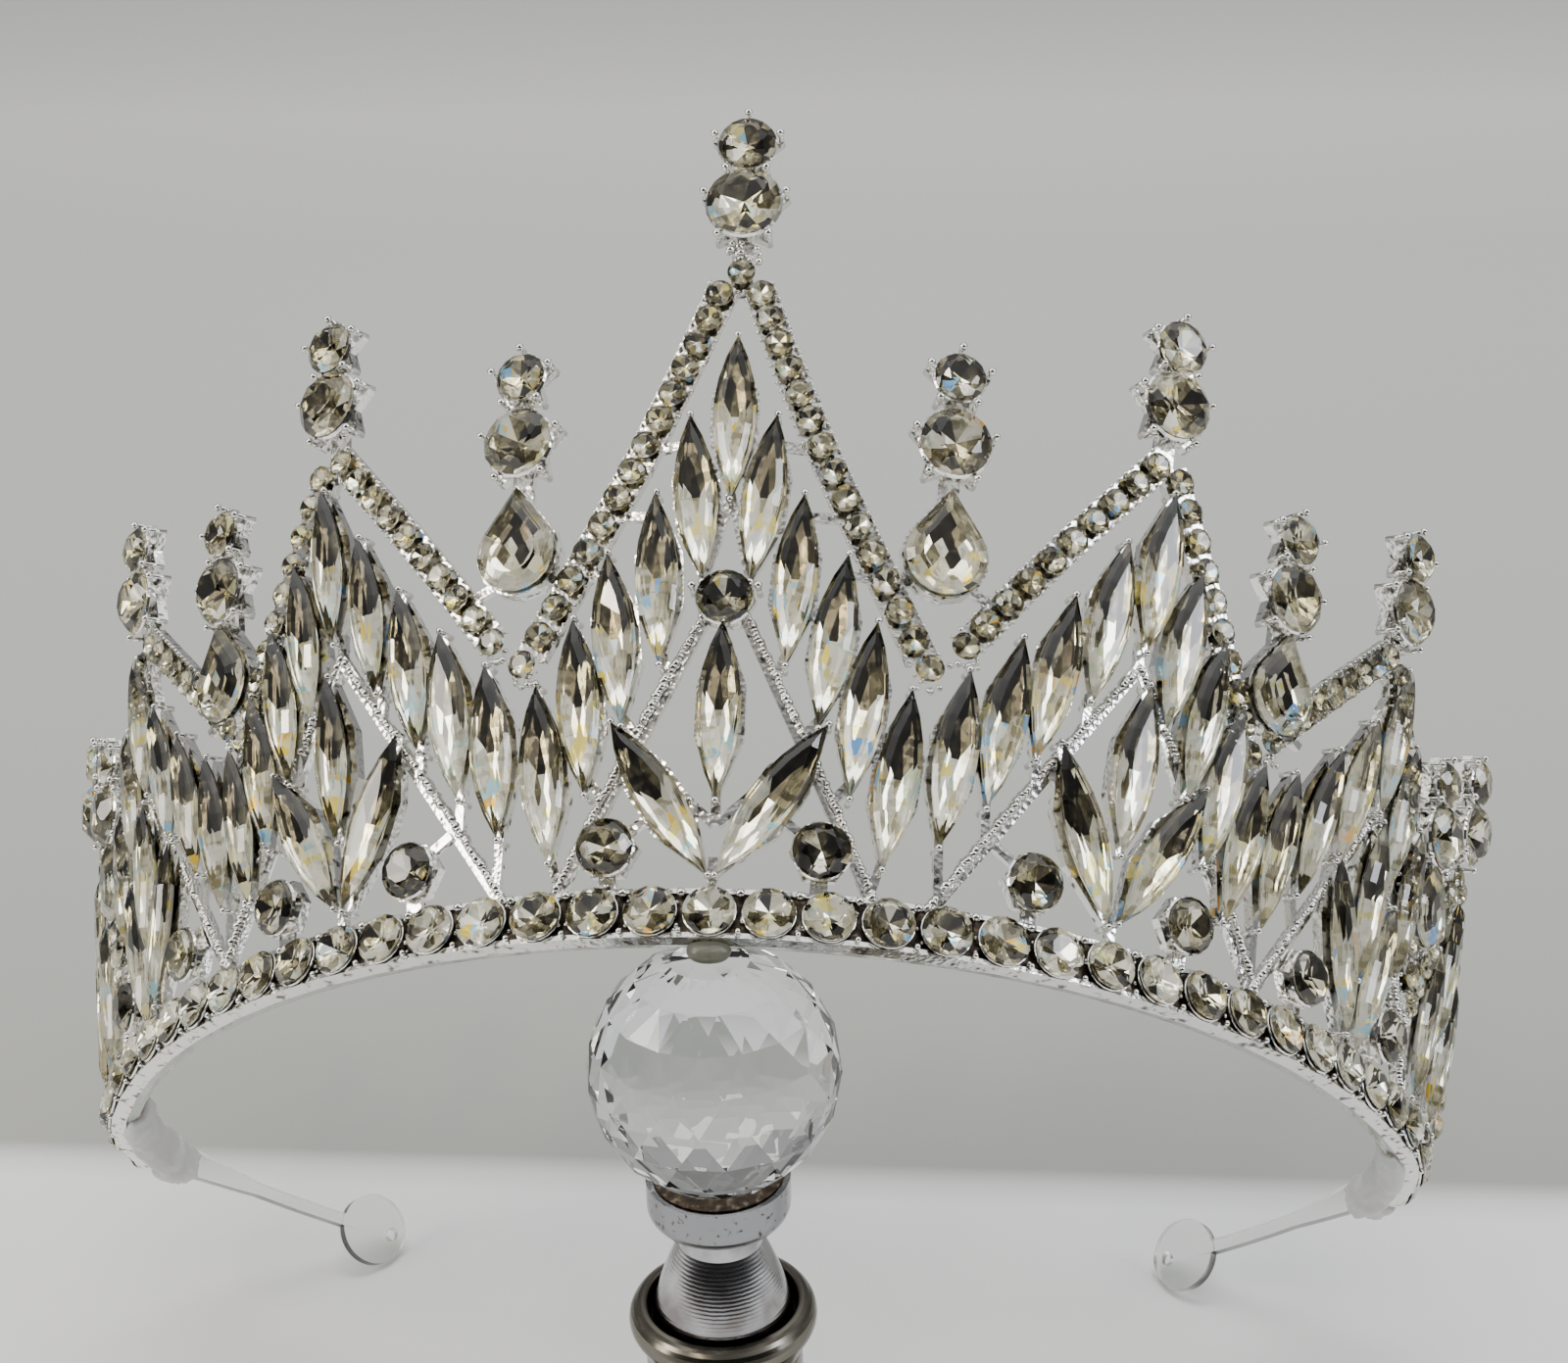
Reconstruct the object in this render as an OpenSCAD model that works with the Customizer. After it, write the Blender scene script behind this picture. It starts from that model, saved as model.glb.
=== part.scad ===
// Crystal tiara resting on a lamp finial with a glass ball.
// The origin is the middle of the finial's foot, on the floor. +X is the tiara's right as seen
// from the front, +Y points to its back, +Z is up.
// The tiara is drawn in a frame of its own, with its headband level and the middle of the band's
// front at the origin. It is then tipped back, so that it rests on the ball and on its two tips.

/* [Headband] */
// Radius of the front of the band, at the face that its stones sit on
band_radius = 70; // [68:0.5:72]
// Length along the band from its middle to where it turns in
front_reach = 82; // [80:0.5:84]
// Radius of that turn
turn_radius = 20; // [19:0.5:22]
// Length of that turn
turn_length = 19; // [18:0.5:20]
// Radius of the run from the turn to the tip
run_radius = 90; // [80:5:120]
// Length along the band from its middle to the centre of a tip
tip_reach = 126; // [124:0.5:128]
// Length along the band from its middle to the end of the metal
metal_reach = 96; // [95:0.5:98]
// Top edge of the metal band above the middle of its stones
band_top = 2.4; // [2.2:0.1:2.8]
// Bottom edge of the metal band below the middle of its stones
band_bottom = 2.2; // [2:0.1:2.6]
// Thickness of the metal band's back plate
band_plate = 1; // [0.9:0.1:1.1]
// Thickness of the clear strap
strap_thickness = 1; // [0.9:0.1:1.1]
// Top edge of the clear strap
strap_top = 1.8; // [1.4:0.1:2.2]
// Bottom edge of the clear strap below the middle of the stones
strap_bottom = 1.9; // [1.6:0.1:2.1]
// Height of the clear strap at a tip
strap_tip_height = 1.4; // [1.2:0.1:1.8]
// Length of the glue past the end of the metal
glue_past = 5; // [3:0.5:6]
// Diameter of a disc tip
tip_d = 8; // [7.5:0.5:9]
// Diameter of the small hole in a disc tip
tip_hole_d = 1.5; // [1:0.1:2]

/* [Crown] */
// Angle by which the crown leans outwards from the band
lean = 14; // [12:0.5:16]
// Angle by which the whole tiara is tipped back
tip_back = 56; // [54:0.5:58]
// Thickness of the metal plates behind the stones
plate_t = 1; // [0.8:0.1:1.2]
// Width of the ribbon that carries the small stones
ribbon_w = 2.9; // [2.7:0.1:3.1]
// Width of the arrow bars
bar_w = 1.1; // [0.9:0.1:1.3]
// Width of the short links between settings
link_w = 0.8; // [0.6:0.1:1]

/* [Stones] */
// Diameter of a band stone
band_stone_d = 4.5; // [4.2:0.1:4.6]
// Distance between band stones
band_pitch = 5; // [4.9:0.05:5.05]
// Number of band stones on each side of the middle one
band_stones_each_side = 19; // [17:1:19]
// Diameter of a ribbon stone
ribbon_stone_d = 2.4; // [2.2:0.05:2.5]
// Width of a marquise stone
marquise_w = 3.9; // [3.5:0.1:3.9]
// Length of a marquise stone
marquise_l = 16; // [15:0.2:16]
// Width of a pear stone
pear_w = 7.5; // [7:0.1:7.5]
// Length of a pear stone
pear_l = 10.2; // [9.6:0.1:10.2]
// Diameter of a post stone
post_stone_d = 5; // [4.6:0.1:5.2]
// Gap between a stone and the metal around it
stone_gap = 0.1; // [0.1:0.05:0.15]

/* [Stand] */
// Diameter of the glass ball
ball_d = 22.2; // [21:0.1:22.4]
// Height of the band's middle above the centre of the ball
ball_drop = 14.1; // [14.1:0.1:15]
// Distance of the band's middle behind the axis of the stand
ball_ahead = 1.2; // [1:0.1:1.4]
// Diameter of the collar under the ball
collar_d = 12.8; // [12:0.2:13.2]
// Diameter of the drum and the post
post_d = 14.2; // [13.6:0.2:15]
// Diameter of the foot
foot_d = 42; // [38:1:48]
// Thickness of the foot
foot_t = 4; // [3:0.5:6]

/* [Hidden] */
turn_end = front_reach + turn_length;
degrees_per_radian = 180 / PI;
front_angle = front_reach / band_radius * degrees_per_radian;
turn_angle = front_angle + turn_length / turn_radius * degrees_per_radian;

// Outline of the headband from above

function step_from(point, angle, distance) = point + distance * [sin(angle), -cos(angle)];
front_centre = [0, band_radius];
turn_centre = step_from(front_centre, front_angle, band_radius - turn_radius);
run_centre = step_from(turn_centre, turn_angle, turn_radius - run_radius);

function heading_half(s) =
    s <= front_reach ? s / band_radius * degrees_per_radian
    : s <= turn_end ? front_angle + (s - front_reach) / turn_radius * degrees_per_radian
    : turn_angle + (s - turn_end) / run_radius * degrees_per_radian;
function heading(s) = sign(s) * heading_half(abs(s));

// The point at length s along the headband and n outwards of the face that the stones sit on
function plan_half(s, n) =
    let (angle = heading_half(s))
    s <= front_reach ? step_from(front_centre, angle, band_radius + n)
    : s <= turn_end ? step_from(turn_centre, angle, turn_radius + n)
    : step_from(run_centre, angle, run_radius + n);
function plan(s, n) =
    let (point = plan_half(abs(s), n))
    [s < 0 ? -point.x : point.x, point.y];

function stations(from, to, pitch) =
    let (steps = ceil((to - from) / pitch))
    [for (i = [0:steps]) from + (to - from) * i / steps];

module plan_wall(from, to, n_in, n_out, bottom, top) {
    places = stations(from, to, 2);
    last = len(places) - 1;
    outer = [for (s = places) plan(s, n_out)];
    inner = [for (i = [last:-1:0]) plan(places[i], n_in)];
    translate([0, 0, bottom])
        linear_extrude(top - bottom)
            polygon(concat(outer, inner));
}

module on_band(s, height = 0) {
    place = plan(s, 0);
    translate([place.x, place.y, height])
        rotate([0, 0, heading(s)])
            rotate([90, 0, 0])
                children();
}

// Places on the leaning crown: s along the band, h up the crown, then x along the band, y up the
// crown and z outwards

function crown_angle(s) = s / band_radius * degrees_per_radian;

module on_crown(s, h, turn = 0) {
    translate([0, band_radius, 0])
        rotate([0, 0, crown_angle(s)])
            translate([0, -band_radius - h * sin(lean), h * cos(lean)])
                rotate([90 + lean, 0, 0])
                    rotate([0, 0, -turn])
                        children();
}

function crown_point(s, h, offset) =
    let (
        a = crown_angle(s),
        up = h + offset.y,
        r = band_radius + up * sin(lean) + offset.z * cos(lean),
        z = up * cos(lean) - offset.z * sin(lean)
    )
    [r * sin(a) + offset.x * cos(a), band_radius - r * cos(a) + offset.x * sin(a), z];

// A step along the band is this much longer at height h, because the crown leans outwards
function spread(h) = 1 + h * sin(lean) / band_radius;
function turn_between(a, b) = atan2((b[0] - a[0]) * spread((a[1] + b[1]) / 2), b[1] - a[1]);

// Tables of the crown

// Peaks: place along the band, height of the apex, then diameter and height of the large stone
// and of the small one
PEAKS = [
    [0, 61.3, 7, 68.3, 5.4, 74.8],
    [35.3, 50.2, 6.8, 54.8, 5.2, 61.2],
    [64.2, 43.6, 6.6, 47.8, 5.1, 54],
    [84.5, 30.4, 6.4, 34.5, 5, 40.6]
];
PEAK_S = 0;
PEAK_APEX = 1;
PEAK_LARGE_D = 2;
PEAK_LARGE_H = 3;
PEAK_SMALL_D = 4;
PEAK_SMALL_H = 5;

// Drops: place along the band, heights of the small stone, the large stone and the pear, and the
// scale of the pear
DROPS = [
    [17.3, 52, 45.2, 35.5, 1],
    [49, 47, 40.7, 31.9, 1],
    [75.8, 35, 29.2, 21.7, 0.86]
];
DROP_S = 0;
DROP_SMALL_H = 1;
DROP_LARGE_H = 2;
DROP_PEAR_H = 3;
DROP_PEAR_SCALE = 4;
drop_small_d = 4.8;
drop_large_d = 6.6;

// Legs of the ribbon: place and height of the top stone, then of the bottom stone, how far the
// leg bows towards the middle, and its number of stones
LEGS = [
    [1.6, 59.1, 16.8, 23.5, 1.2, 15],
    [34.5, 48.4, 19.6, 26.1, 0, 10],
    [36.8, 47.6, 46.9, 24, 0, 10],
    [62.8, 42, 49, 26.2, 0, 9],
    [65, 41, 76, 11, 0, 12],
    [83.8, 28.8, 77, 13.4, 0, 7],
    [85.6, 28.2, 91.8, 4.8, 0, 10]
];
LEG_BOW = 4;
LEG_STONES = 5;
// The ribbon's stones are solids on the leg of the centre peak, and finer looks on the others
legs_with_stones = 1;
ribbon_stone_sides = 6;

// Upright marquises of the right half: place, height, turn clockwise
CENTRE_MARQUISES = [
    [2.7, 38.4, 6],
    [5.5, 30.7, 3],
    [8.9, 25.1, 6],
    [11.7, 19, 5],
    [14.8, 13.1, 5]
];
SIDE_MARQUISES = [
    [19.4, 15.7, 5],
    [23.4, 19.8, 7],
    [27.4, 25, 8],
    [31.6, 31.6, 7],
    [35.8, 37.9, 4],
    [38.7, 31.1, 7],
    [41.6, 25.4, 8],
    [44.4, 19.8, 8],
    [47.3, 15.5, 9],
    [51.3, 16.2, 8],
    [55.9, 21, 12],
    [60.6, 26.4, 12],
    [65.2, 34, 6],
    [68.2, 27.2, 7],
    [71.4, 19.6, 5],
    [80.4, 11.2, 5],
    [84.2, 18.4, 3],
    [86.8, 11, 5]
];
centre_marquise_h = 46.4;

// Arrows: place of the axis, height of the bars' top, half the spread of the bars at the band
ARROWS = [
    [0, 31, 13.8],
    [35.2, 28.4, 16.8],
    [65.2, 26, 14.5]
];
// Marquises of each arrow: arrow, then place and height from its axis, and turn clockwise
ARROW_MARQUISES = [
    [0, 0, 18.3, 0],
    [0, 4.7, 10.3, 33],
    [1, 0.2, 18.4, 4],
    [1, 3.8, 11.4, 27],
    [1, -3.9, 11.3, -22],
    [2, -0.2, 17, 2],
    [2, 2.3, 9.95, 13],
    [2, -3.7, 11, -18]
];
// Places of the post stones along the band
POSTS = [9, 27.2, 42.3, 57, 71.6];

// Links between settings, from place and height to place and height
LINKS = [
    [1.9, 30.4, 0, 39],
    [0, 12, 0, 8.2],
    [0, 5.2, 0, 1.8],
    [0.2, 8.2, 2.9, 10.8],
    [3.6, 44, 6.8, 43.6],
    [6, 37, 9.4, 37.2],
    [9.6, 31.6, 12, 31.6],
    [5, 23.6, 4.4, 21.4],
    [8.2, 18, 6.8, 16.2],
    [11, 12.4, 9.6, 10.6],
    [14.2, 6, 13.4, 3],
    [8, 7, 5.6, 8.8],
    [18.8, 8.6, 19.2, 2.6],
    [22.6, 12.8, 22.8, 8.6],
    [26.4, 7, 23.6, 8.8],
    [26.6, 18.2, 26.8, 14.8],
    [30.7, 24.4, 30.8, 21.2],
    [35, 30.8, 35.2, 27.8],
    [35.2, 5, 35.2, 1.8],
    [43.6, 7, 46.4, 8.8],
    [50.4, 9.4, 51, 2.4],
    [54.4, 14.2, 55.6, 10.2],
    [59.2, 19.4, 59.5, 16.2],
    [65.1, 27.2, 65.2, 25],
    [64.9, 5, 64.9, 1.8],
    [79, 5.4, 79, 1.8]
];
post_stone_h = 5.9;
arrow_stone_h = 28.6;

// Sizes of the metal: rails of the band, prongs, rims of the seats, the upright behind each
// column of stones and under each post stone, and how far the bars lie inside the plates' faces

column_w = 2;
post_w = 1.5;
rail_h = 0.5;
rail_t = 0.45;
seat_rim = 0.25;
prong_w = 0.6;
prong_out = 0.75;
valley_of_d = 0.34;
five_prongs = [18, 90, 162, 234, 306];
four_prongs = [18, 162, 234, 306];
bar_inset = 0.13;

// Cut stones: depth and table of a round one against its diameter, and height of its girdle
// against its depth. Then the depths of the long ones and the size of their tables.
depth_of_d = 0.42;
table_of_d = 0.58;
girdle_of_depth = 0.45;
marquise_depth = 1.7;
marquise_table_w = 0.45;
marquise_table_l = 0.72;
pear_depth = 2.4;
pear_back = 0.8;
pear_table = 0.6;

// The marquises of the middle and the right half, in one list
arrow_rows = [for (row = ARROW_MARQUISES) [ARROWS[row[0]][0] + row[1], row[2], row[3]]];
marquises = concat([[0, centre_marquise_h, 0]], CENTRE_MARQUISES, SIDE_MARQUISES,
                   [for (row = arrow_rows) if (row[0] >= 0) row]);

function mirror_list(list) = [for (row = list) each [row, [-row[0], row[1], -row[2]]]];

finials = [
    for (peak = PEAKS)
        for (side = peak[PEAK_S] == 0 ? [1] : [1, -1])
            for (size = [0, 1])
                [side * peak[PEAK_S],
                 size == 0 ? peak[PEAK_LARGE_H] : peak[PEAK_SMALL_H],
                 size == 0 ? peak[PEAK_LARGE_D] : peak[PEAK_SMALL_D]]
];
drops = [
    for (drop = DROPS)
        for (side = [1, -1])
            for (size = [0, 1])
                [side * drop[DROP_S],
                 size == 0 ? drop[DROP_LARGE_H] : drop[DROP_SMALL_H],
                 size == 0 ? drop_large_d : drop_small_d]
];
pears = [
    for (drop = DROPS)
        for (side = [1, -1])
            [side * drop[DROP_S], drop[DROP_PEAR_H], drop[DROP_PEAR_SCALE]]
];

// How the tiara stands

strap_face = -band_plate - stone_gap;
tip_heading = heading(tip_reach);
tip_middle = plan(tip_reach, strap_face - strap_thickness / 2);
tip_h = 0.1;
tip_reach_down = tip_d / 2 * norm([sin(tip_heading) * sin(tip_back), cos(tip_back)])
    + strap_thickness / 2 * abs(cos(tip_heading)) * sin(tip_back);
band_lift = tip_middle.y * sin(tip_back) - tip_h * cos(tip_back) + tip_reach_down;

module resting() {
    translate([0, ball_ahead, band_lift])
        rotate([-tip_back, 0, 0])
            children();
}

// Both halves of what is the same on the left and the right
module both_sides() {
    children();
    mirror([1, 0, 0])
        children();
}

// The convex solid round a list of points
module wrapped(points) {
    faces = [for (i = [0:len(points) - 3]) [i, i + 1, i + 2]];
    hull()
        polyhedron(points, faces);
}

// A round cut stone: point at the back, girdle, table
module round_stone(d, sides) {
    depth = d * depth_of_d;
    table = d * table_of_d;
    girdle = depth * girdle_of_depth;
    ring = [for (i = [0:sides - 1]) [cos(360 * (i + 0.5) / sides), sin(360 * (i + 0.5) / sides)]];
    wrapped(concat(
        [[0, 0, 0]],
        [for (p = ring) [p.x * d / 2, p.y * d / 2, girdle]],
        [for (p = ring) [p.x * table / 2, p.y * table / 2, depth]]
    ));
}

function boat(w, l) = [
    for (side = [1, -1])
        for (row = [[0, 0.5], [0.37, 0.27], [0.5, 0], [0.37, -0.27]])
            [side * row[0] * w, side * row[1] * l]
];

module marquise() {
    wrapped(concat(
        [for (p = boat(marquise_w, marquise_l)) [p.x, p.y, 0]],
        [for (p = boat(marquise_w * marquise_table_w, marquise_l * marquise_table_l))
            [p.x, p.y, marquise_depth]]
    ));
}

// A pear outline with its point up, about the middle of its length
function pear(w, l) =
    let (
        r = w / 2,
        low = r - l / 2,
        tangent = asin(r / (l - r))
    )
    concat([[0, l / 2]], [
        for (i = [0:8])
            let (a = tangent - i * (180 + 2 * tangent) / 8)
            [r * cos(a), low + r * sin(a)]
    ]);

module pear_stone() {
    wrapped(concat(
        [for (p = pear(pear_w * pear_back, pear_l * pear_back)) [p.x, p.y, 0]],
        [for (p = pear(pear_w, pear_l)) [p.x, p.y, pear_depth * girdle_of_depth]],
        [for (p = pear(pear_w * pear_table, pear_l * pear_table)) [p.x, p.y, pear_depth]]
    ));
}

// The metal

// A straight bar between two places on the crown, a little thinner than the plates
module crown_bar(a, b, w) {
    turn = turn_between(a, b);
    wrapped([
        for (end = [a, b])
            for (x = [-w / 2, w / 2])
                for (n = [bar_inset - plate_t, -bar_inset])
                    crown_point(end[0], end[1], [x * cos(turn), -x * sin(turn), n])
    ]);
}

// A solid swept through rings of points
module swept(rings) {
    sides = len(rings[0]);
    last = len(rings) - 1;
    skin = [
        for (k = [0:last - 1])
            for (i = [0:sides - 1])
                let (j = (i + 1) % sides)
                [k * sides + i, (k + 1) * sides + i, (k + 1) * sides + j, k * sides + j]
    ];
    start = [for (i = [0:sides - 1]) i];
    end = [for (i = [sides - 1:-1:0]) last * sides + i];
    polyhedron([for (ring = rings) each ring], concat([start], skin, [end]));
}

// Outline of a channel from its low edge to its high one: [across, outwards]
function channel(low, high, depth) = [
    [low, -depth],
    [high, -depth],
    [high, rail_h],
    [high - rail_t, rail_h],
    [high - rail_t, 0],
    [low + rail_t, 0],
    [low + rail_t, rail_h],
    [low, rail_h]
];

module band_metal() {
    front = stations(-front_reach, front_reach, 6.5);
    turn = [for (s = stations(front_reach, metal_reach, 2.8)) if (s > front_reach) s];
    last = len(turn) - 1;
    places = concat([for (i = [last:-1:0]) -turn[i]], front, turn);
    swept([
        for (s = places)
            [for (p = channel(-band_bottom, band_top, band_plate))
                let (place = plan(s, p.y)) [place.x, place.y, p.x]]
    ]);
}

function leg_point(leg, t) = [
    leg[0] + (leg[2] - leg[0]) * t - leg[LEG_BOW] * 4 * t * (1 - t),
    leg[1] + (leg[3] - leg[1]) * t
];
function leg_turn(leg, t) = turn_between(leg_point(leg, t + 0.01), leg_point(leg, t - 0.01));

// The ribbon along one leg, from half a stone above its top stone to just short of its bottom one
module ribbon(leg) {
    rings = 2 + floor(abs(leg[2] - leg[0]) / 8);
    pitch = 1 / (leg[LEG_STONES] - 1);
    swept([
        for (k = [0:rings - 1])
            let (
                t = -pitch / 2 + (1 + pitch * 0.1) * k / (rings - 1),
                place = leg_point(leg, t),
                turn = leg_turn(leg, t)
            )
            [for (x = [-1, 1], n = x < 0 ? [0, -plate_t] : [-plate_t, 0])
                let (across = x * ribbon_w / 2)
                crown_point(place[0], place[1], [across * cos(turn), -across * sin(turn), n])]
    ]);
}

// A star behind a round stone, whose arms end in the prongs at the stone's edge
module star_seat(d, angles) {
    tip = d / 2 + prong_out;
    spin = asin(prong_w / 2 / tip);
    count = len(angles);
    translate([0, 0, -plate_t])
        linear_extrude(plate_t)
            polygon([
                for (i = [0:count - 1])
                    let (
                        a = angles[i],
                        next = angles[(i + 1) % count] + (i + 1 < count ? 0 : 360),
                        valley = (a + next) / 2
                    )
                    each [
                        tip * [cos(a - spin), sin(a - spin)],
                        tip * [cos(a + spin), sin(a + spin)],
                        valley_of_d * d * [cos(valley), sin(valley)]
                    ]
            ]);
}

module round_seat() {
    translate([0, 0, -plate_t])
        cylinder(h = plate_t, d = post_stone_d + 2 * seat_rim, $fn = 6);
}

module marquise_seat() {
    half = marquise_w / 2 + seat_rim;
    tip = marquise_l / 2 + seat_rim;
    shoulder = marquise_l * 0.15;
    translate([0, 0, -plate_t])
        linear_extrude(plate_t)
            polygon([
                [0, tip], [half, shoulder], [half, -shoulder],
                [0, -tip], [-half, -shoulder], [-half, shoulder]
            ]);
}

// What stands in the middle once, and to the right and left of it otherwise
module on_both_sides(s, h, turn = 0) {
    on_crown(s, h, turn)
        children();
    if (s > 0)
        on_crown(-s, h, -turn)
            mirror([1, 0, 0])
                children();
}

module bar_on_both_sides(a, b, w) {
    crown_bar(a, b, w);
    if (max(a[0], b[0]) > 0)
        crown_bar([-a[0], a[1]], [-b[0], b[1]], w);
}

module peak_metal(peak) {
    s = peak[PEAK_S];
    on_both_sides(s, peak[PEAK_LARGE_H])
        star_seat(peak[PEAK_LARGE_D], four_prongs);
    on_both_sides(s, peak[PEAK_SMALL_H])
        star_seat(peak[PEAK_SMALL_D], five_prongs);
    bar_on_both_sides([s, peak[PEAK_APEX] - 2], [s, peak[PEAK_SMALL_H]], column_w);
}

module drop_metal(drop) {
    s = drop[DROP_S];
    size = drop[DROP_PEAR_SCALE];
    on_both_sides(s, drop[DROP_SMALL_H])
        star_seat(drop_small_d, five_prongs);
    on_both_sides(s, drop[DROP_LARGE_H])
        star_seat(drop_large_d, four_prongs);
    on_both_sides(s, drop[DROP_PEAR_H])
        translate([0, 0, -plate_t])
            linear_extrude(plate_t)
                polygon(pear(pear_w * size + 2 * seat_rim, pear_l * size + 2 * seat_rim));
    bar_on_both_sides([s, drop[DROP_PEAR_H]], [s, drop[DROP_SMALL_H]], column_w);
    // The pear hangs between two legs of the ribbon
    for (side = [1, -1])
        bar_on_both_sides([s, drop[DROP_PEAR_H] - pear_w * 0.35],
                          [s + side * pear_w * 0.56, drop[DROP_PEAR_H] - pear_w * 0.6], link_w);
}

module arrow_metal(arrow) {
    bar_on_both_sides([arrow[0], arrow[1]], [arrow[0] + arrow[2], band_top - 0.6], bar_w);
    if (arrow[0] > 0)
        bar_on_both_sides([arrow[0], arrow[1]], [arrow[0] - arrow[2], band_top - 0.6], bar_w);
}

module crown_frame() {
    color("silver")
        resting() {
            band_metal();
            both_sides()
                for (leg = LEGS)
                    ribbon(leg);
            for (peak = PEAKS)
                peak_metal(peak);
            for (drop = DROPS)
                drop_metal(drop);
            for (row = marquises)
                on_both_sides(row[0], row[1], row[2])
                    marquise_seat();
            for (arrow = ARROWS)
                arrow_metal(arrow);
            for (s = POSTS) {
                on_both_sides(s, post_stone_h)
                    round_seat();
                bar_on_both_sides([s, post_stone_h], [s, band_top - 0.6], post_w);
            }
            on_crown(0, arrow_stone_h)
                round_seat();
            for (row = LINKS)
                bar_on_both_sides([row[0], row[1]], [row[2], row[3]], link_w);
        }
}

// The stones

module band_stones() {
    color("whitesmoke")
        resting()
            for (i = [-band_stones_each_side:band_stones_each_side])
                on_band(i * band_pitch, 0.1)
                    translate([0, 0, stone_gap])
                        round_stone(band_stone_d, 8);
}

module zigzag_stones() {
    color("gainsboro")
        resting() {
            on_crown(0, PEAKS[0][PEAK_APEX])
                translate([0, 0, stone_gap])
                    round_stone(ribbon_stone_d, ribbon_stone_sides);
            both_sides()
                for (k = [0:legs_with_stones - 1])
                    for (i = [0:LEGS[k][LEG_STONES] - 1])
                        let (place = leg_point(LEGS[k], i / (LEGS[k][LEG_STONES] - 1)))
                            on_crown(place[0], place[1])
                                translate([0, 0, stone_gap])
                                    round_stone(ribbon_stone_d, ribbon_stone_sides);
        }
}

module marquises_on(rows) {
    color("white")
        resting()
            for (row = rows)
                on_crown(row[0], row[1], row[2])
                    translate([0, 0, stone_gap])
                        marquise();
}

module marquises_centre() {
    marquises_on(concat([[0, centre_marquise_h, 0]], mirror_list(CENTRE_MARQUISES)));
}

module marquises_right() {
    marquises_on(SIDE_MARQUISES);
}

module marquises_left() {
    mirror([1, 0, 0])
        marquises_on(SIDE_MARQUISES);
}

module arrow_marquises() {
    marquises_on([for (row = arrow_rows) if (row[0] == 0) row]);
    marquises_on(mirror_list([for (row = arrow_rows) if (row[0] > 0) row]));
}

module post_stones() {
    color("whitesmoke")
        resting()
            both_sides()
                for (s = POSTS)
                    on_crown(s, post_stone_h)
                        translate([0, 0, stone_gap])
                            round_stone(post_stone_d, 8);
}

module crown_stone(place) {
    color("whitesmoke")
        resting()
            on_crown(place[0], place[1])
                translate([0, 0, stone_gap])
                    round_stone(place[2], 10);
}

module arrow_stone() {
    crown_stone([0, arrow_stone_h, post_stone_d]);
}

module pear_drop(place) {
    color("whitesmoke")
        resting()
            on_crown(place[0], place[1])
                translate([0, 0, stone_gap])
                    scale(place[2])
                        pear_stone();
}

// The clear strap, which narrows past the end of the metal to a rod that carries the tips

strap_taper = 14;

function strap_edge(s, wide, narrow) =
    wide + (narrow - wide) * min(1, max(0, (abs(s) - metal_reach) / strap_taper));

module strap() {
    swept([
        for (s = stations(-tip_reach, tip_reach, 2))
            let (
                low = strap_edge(s, -strap_bottom, tip_h - strap_tip_height / 2),
                high = strap_edge(s, strap_top, tip_h + strap_tip_height / 2),
                back = plan(s, strap_face - strap_thickness),
                front = plan(s, strap_face)
            )
            [[back.x, back.y, low], [back.x, back.y, high],
             [front.x, front.y, high], [front.x, front.y, low]]
    ]);
}

module clear_headband() {
    color([0.9, 0.95, 0.95, 0.5])
        resting()
            difference() {
                union() {
                    strap();
                    for (side = [1, -1])
                        tip_cylinder(side, 0, tip_d, strap_thickness);
                }
                for (side = [1, -1])
                    tip_cylinder(side, tip_d * 0.3, tip_hole_d, strap_thickness * 2);
            }
}

// A cylinder through a disc tip, the given way past its centre
module tip_cylinder(side, past, d, t) {
    on_band(side * tip_reach, tip_h)
        translate([side * past, 0, strap_face - strap_thickness / 2])
            cylinder(h = t, d = d, center = true, $fn = 48);
}

// Glue on the inside of the strap, and all round it where the metal ends
module glue_pad() {
    glue_t = 0.9;
    glue_out = 0.5;
    inside = strap_face - strap_thickness - stone_gap / 2;
    bottom = -strap_bottom - stone_gap;
    past_metal = metal_reach + stone_gap;
    end = metal_reach + glue_past;
    color([0.95, 0.95, 0.92, 0.7])
        resting() {
            plan_wall(metal_reach - 12, end, inside - glue_t, inside, bottom - glue_t, strap_top);
            plan_wall(past_metal, end, inside - glue_t, glue_out, bottom - glue_t, bottom);
            plan_wall(past_metal, end, strap_face + stone_gap / 2, glue_out, bottom - glue_t, strap_top);
        }
}

module glue_pad_left() {
    mirror([1, 0, 0])
        glue_pad();
}

module glue_pad_right() {
    glue_pad();
}

// The blob squeezed between the ball and the band, cut clear of both
module glue_nub() {
    nub_size = [3.8, 2.8, 2.2];
    color("darkkhaki")
        difference() {
            ball_at()
                translate([0, -0.4, ball_d / 2 + 0.6])
                    resize(nub_size)
                        sphere(d = nub_size.x, $fn = 32);
            ball_at()
                sphere(d = ball_d + 2 * stone_gap, $fn = 96);
            resting()
                translate([-5, -5, -band_bottom - stone_gap])
                    cube(10);
        }
}

// The stand

ball_z = band_lift - ball_drop;
collar_top = ball_z - 10.8;
collar_low = ball_z - 15;
neck_low = ball_z - 25.7;
socket_low = ball_z - 28.9;

module ball_at() {
    translate([0, 0, ball_z])
        children();
}

// Rings of facets, each turned by half a facet from the last
module crystal_ball() {
    facets = 12;
    rows = 8;
    color([0.85, 0.9, 0.9, 0.6])
        ball_at()
            wrapped([
                for (k = [1:rows])
                    for (i = [0:facets - 1])
                        let (
                            up = -90 + 180 * k / (rows + 1),
                            around = 360 / facets * (i + (k % 2) / 2)
                        )
                        ball_d / 2 * [cos(up) * cos(around), cos(up) * sin(around), sin(up)]
            ]);
}

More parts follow.
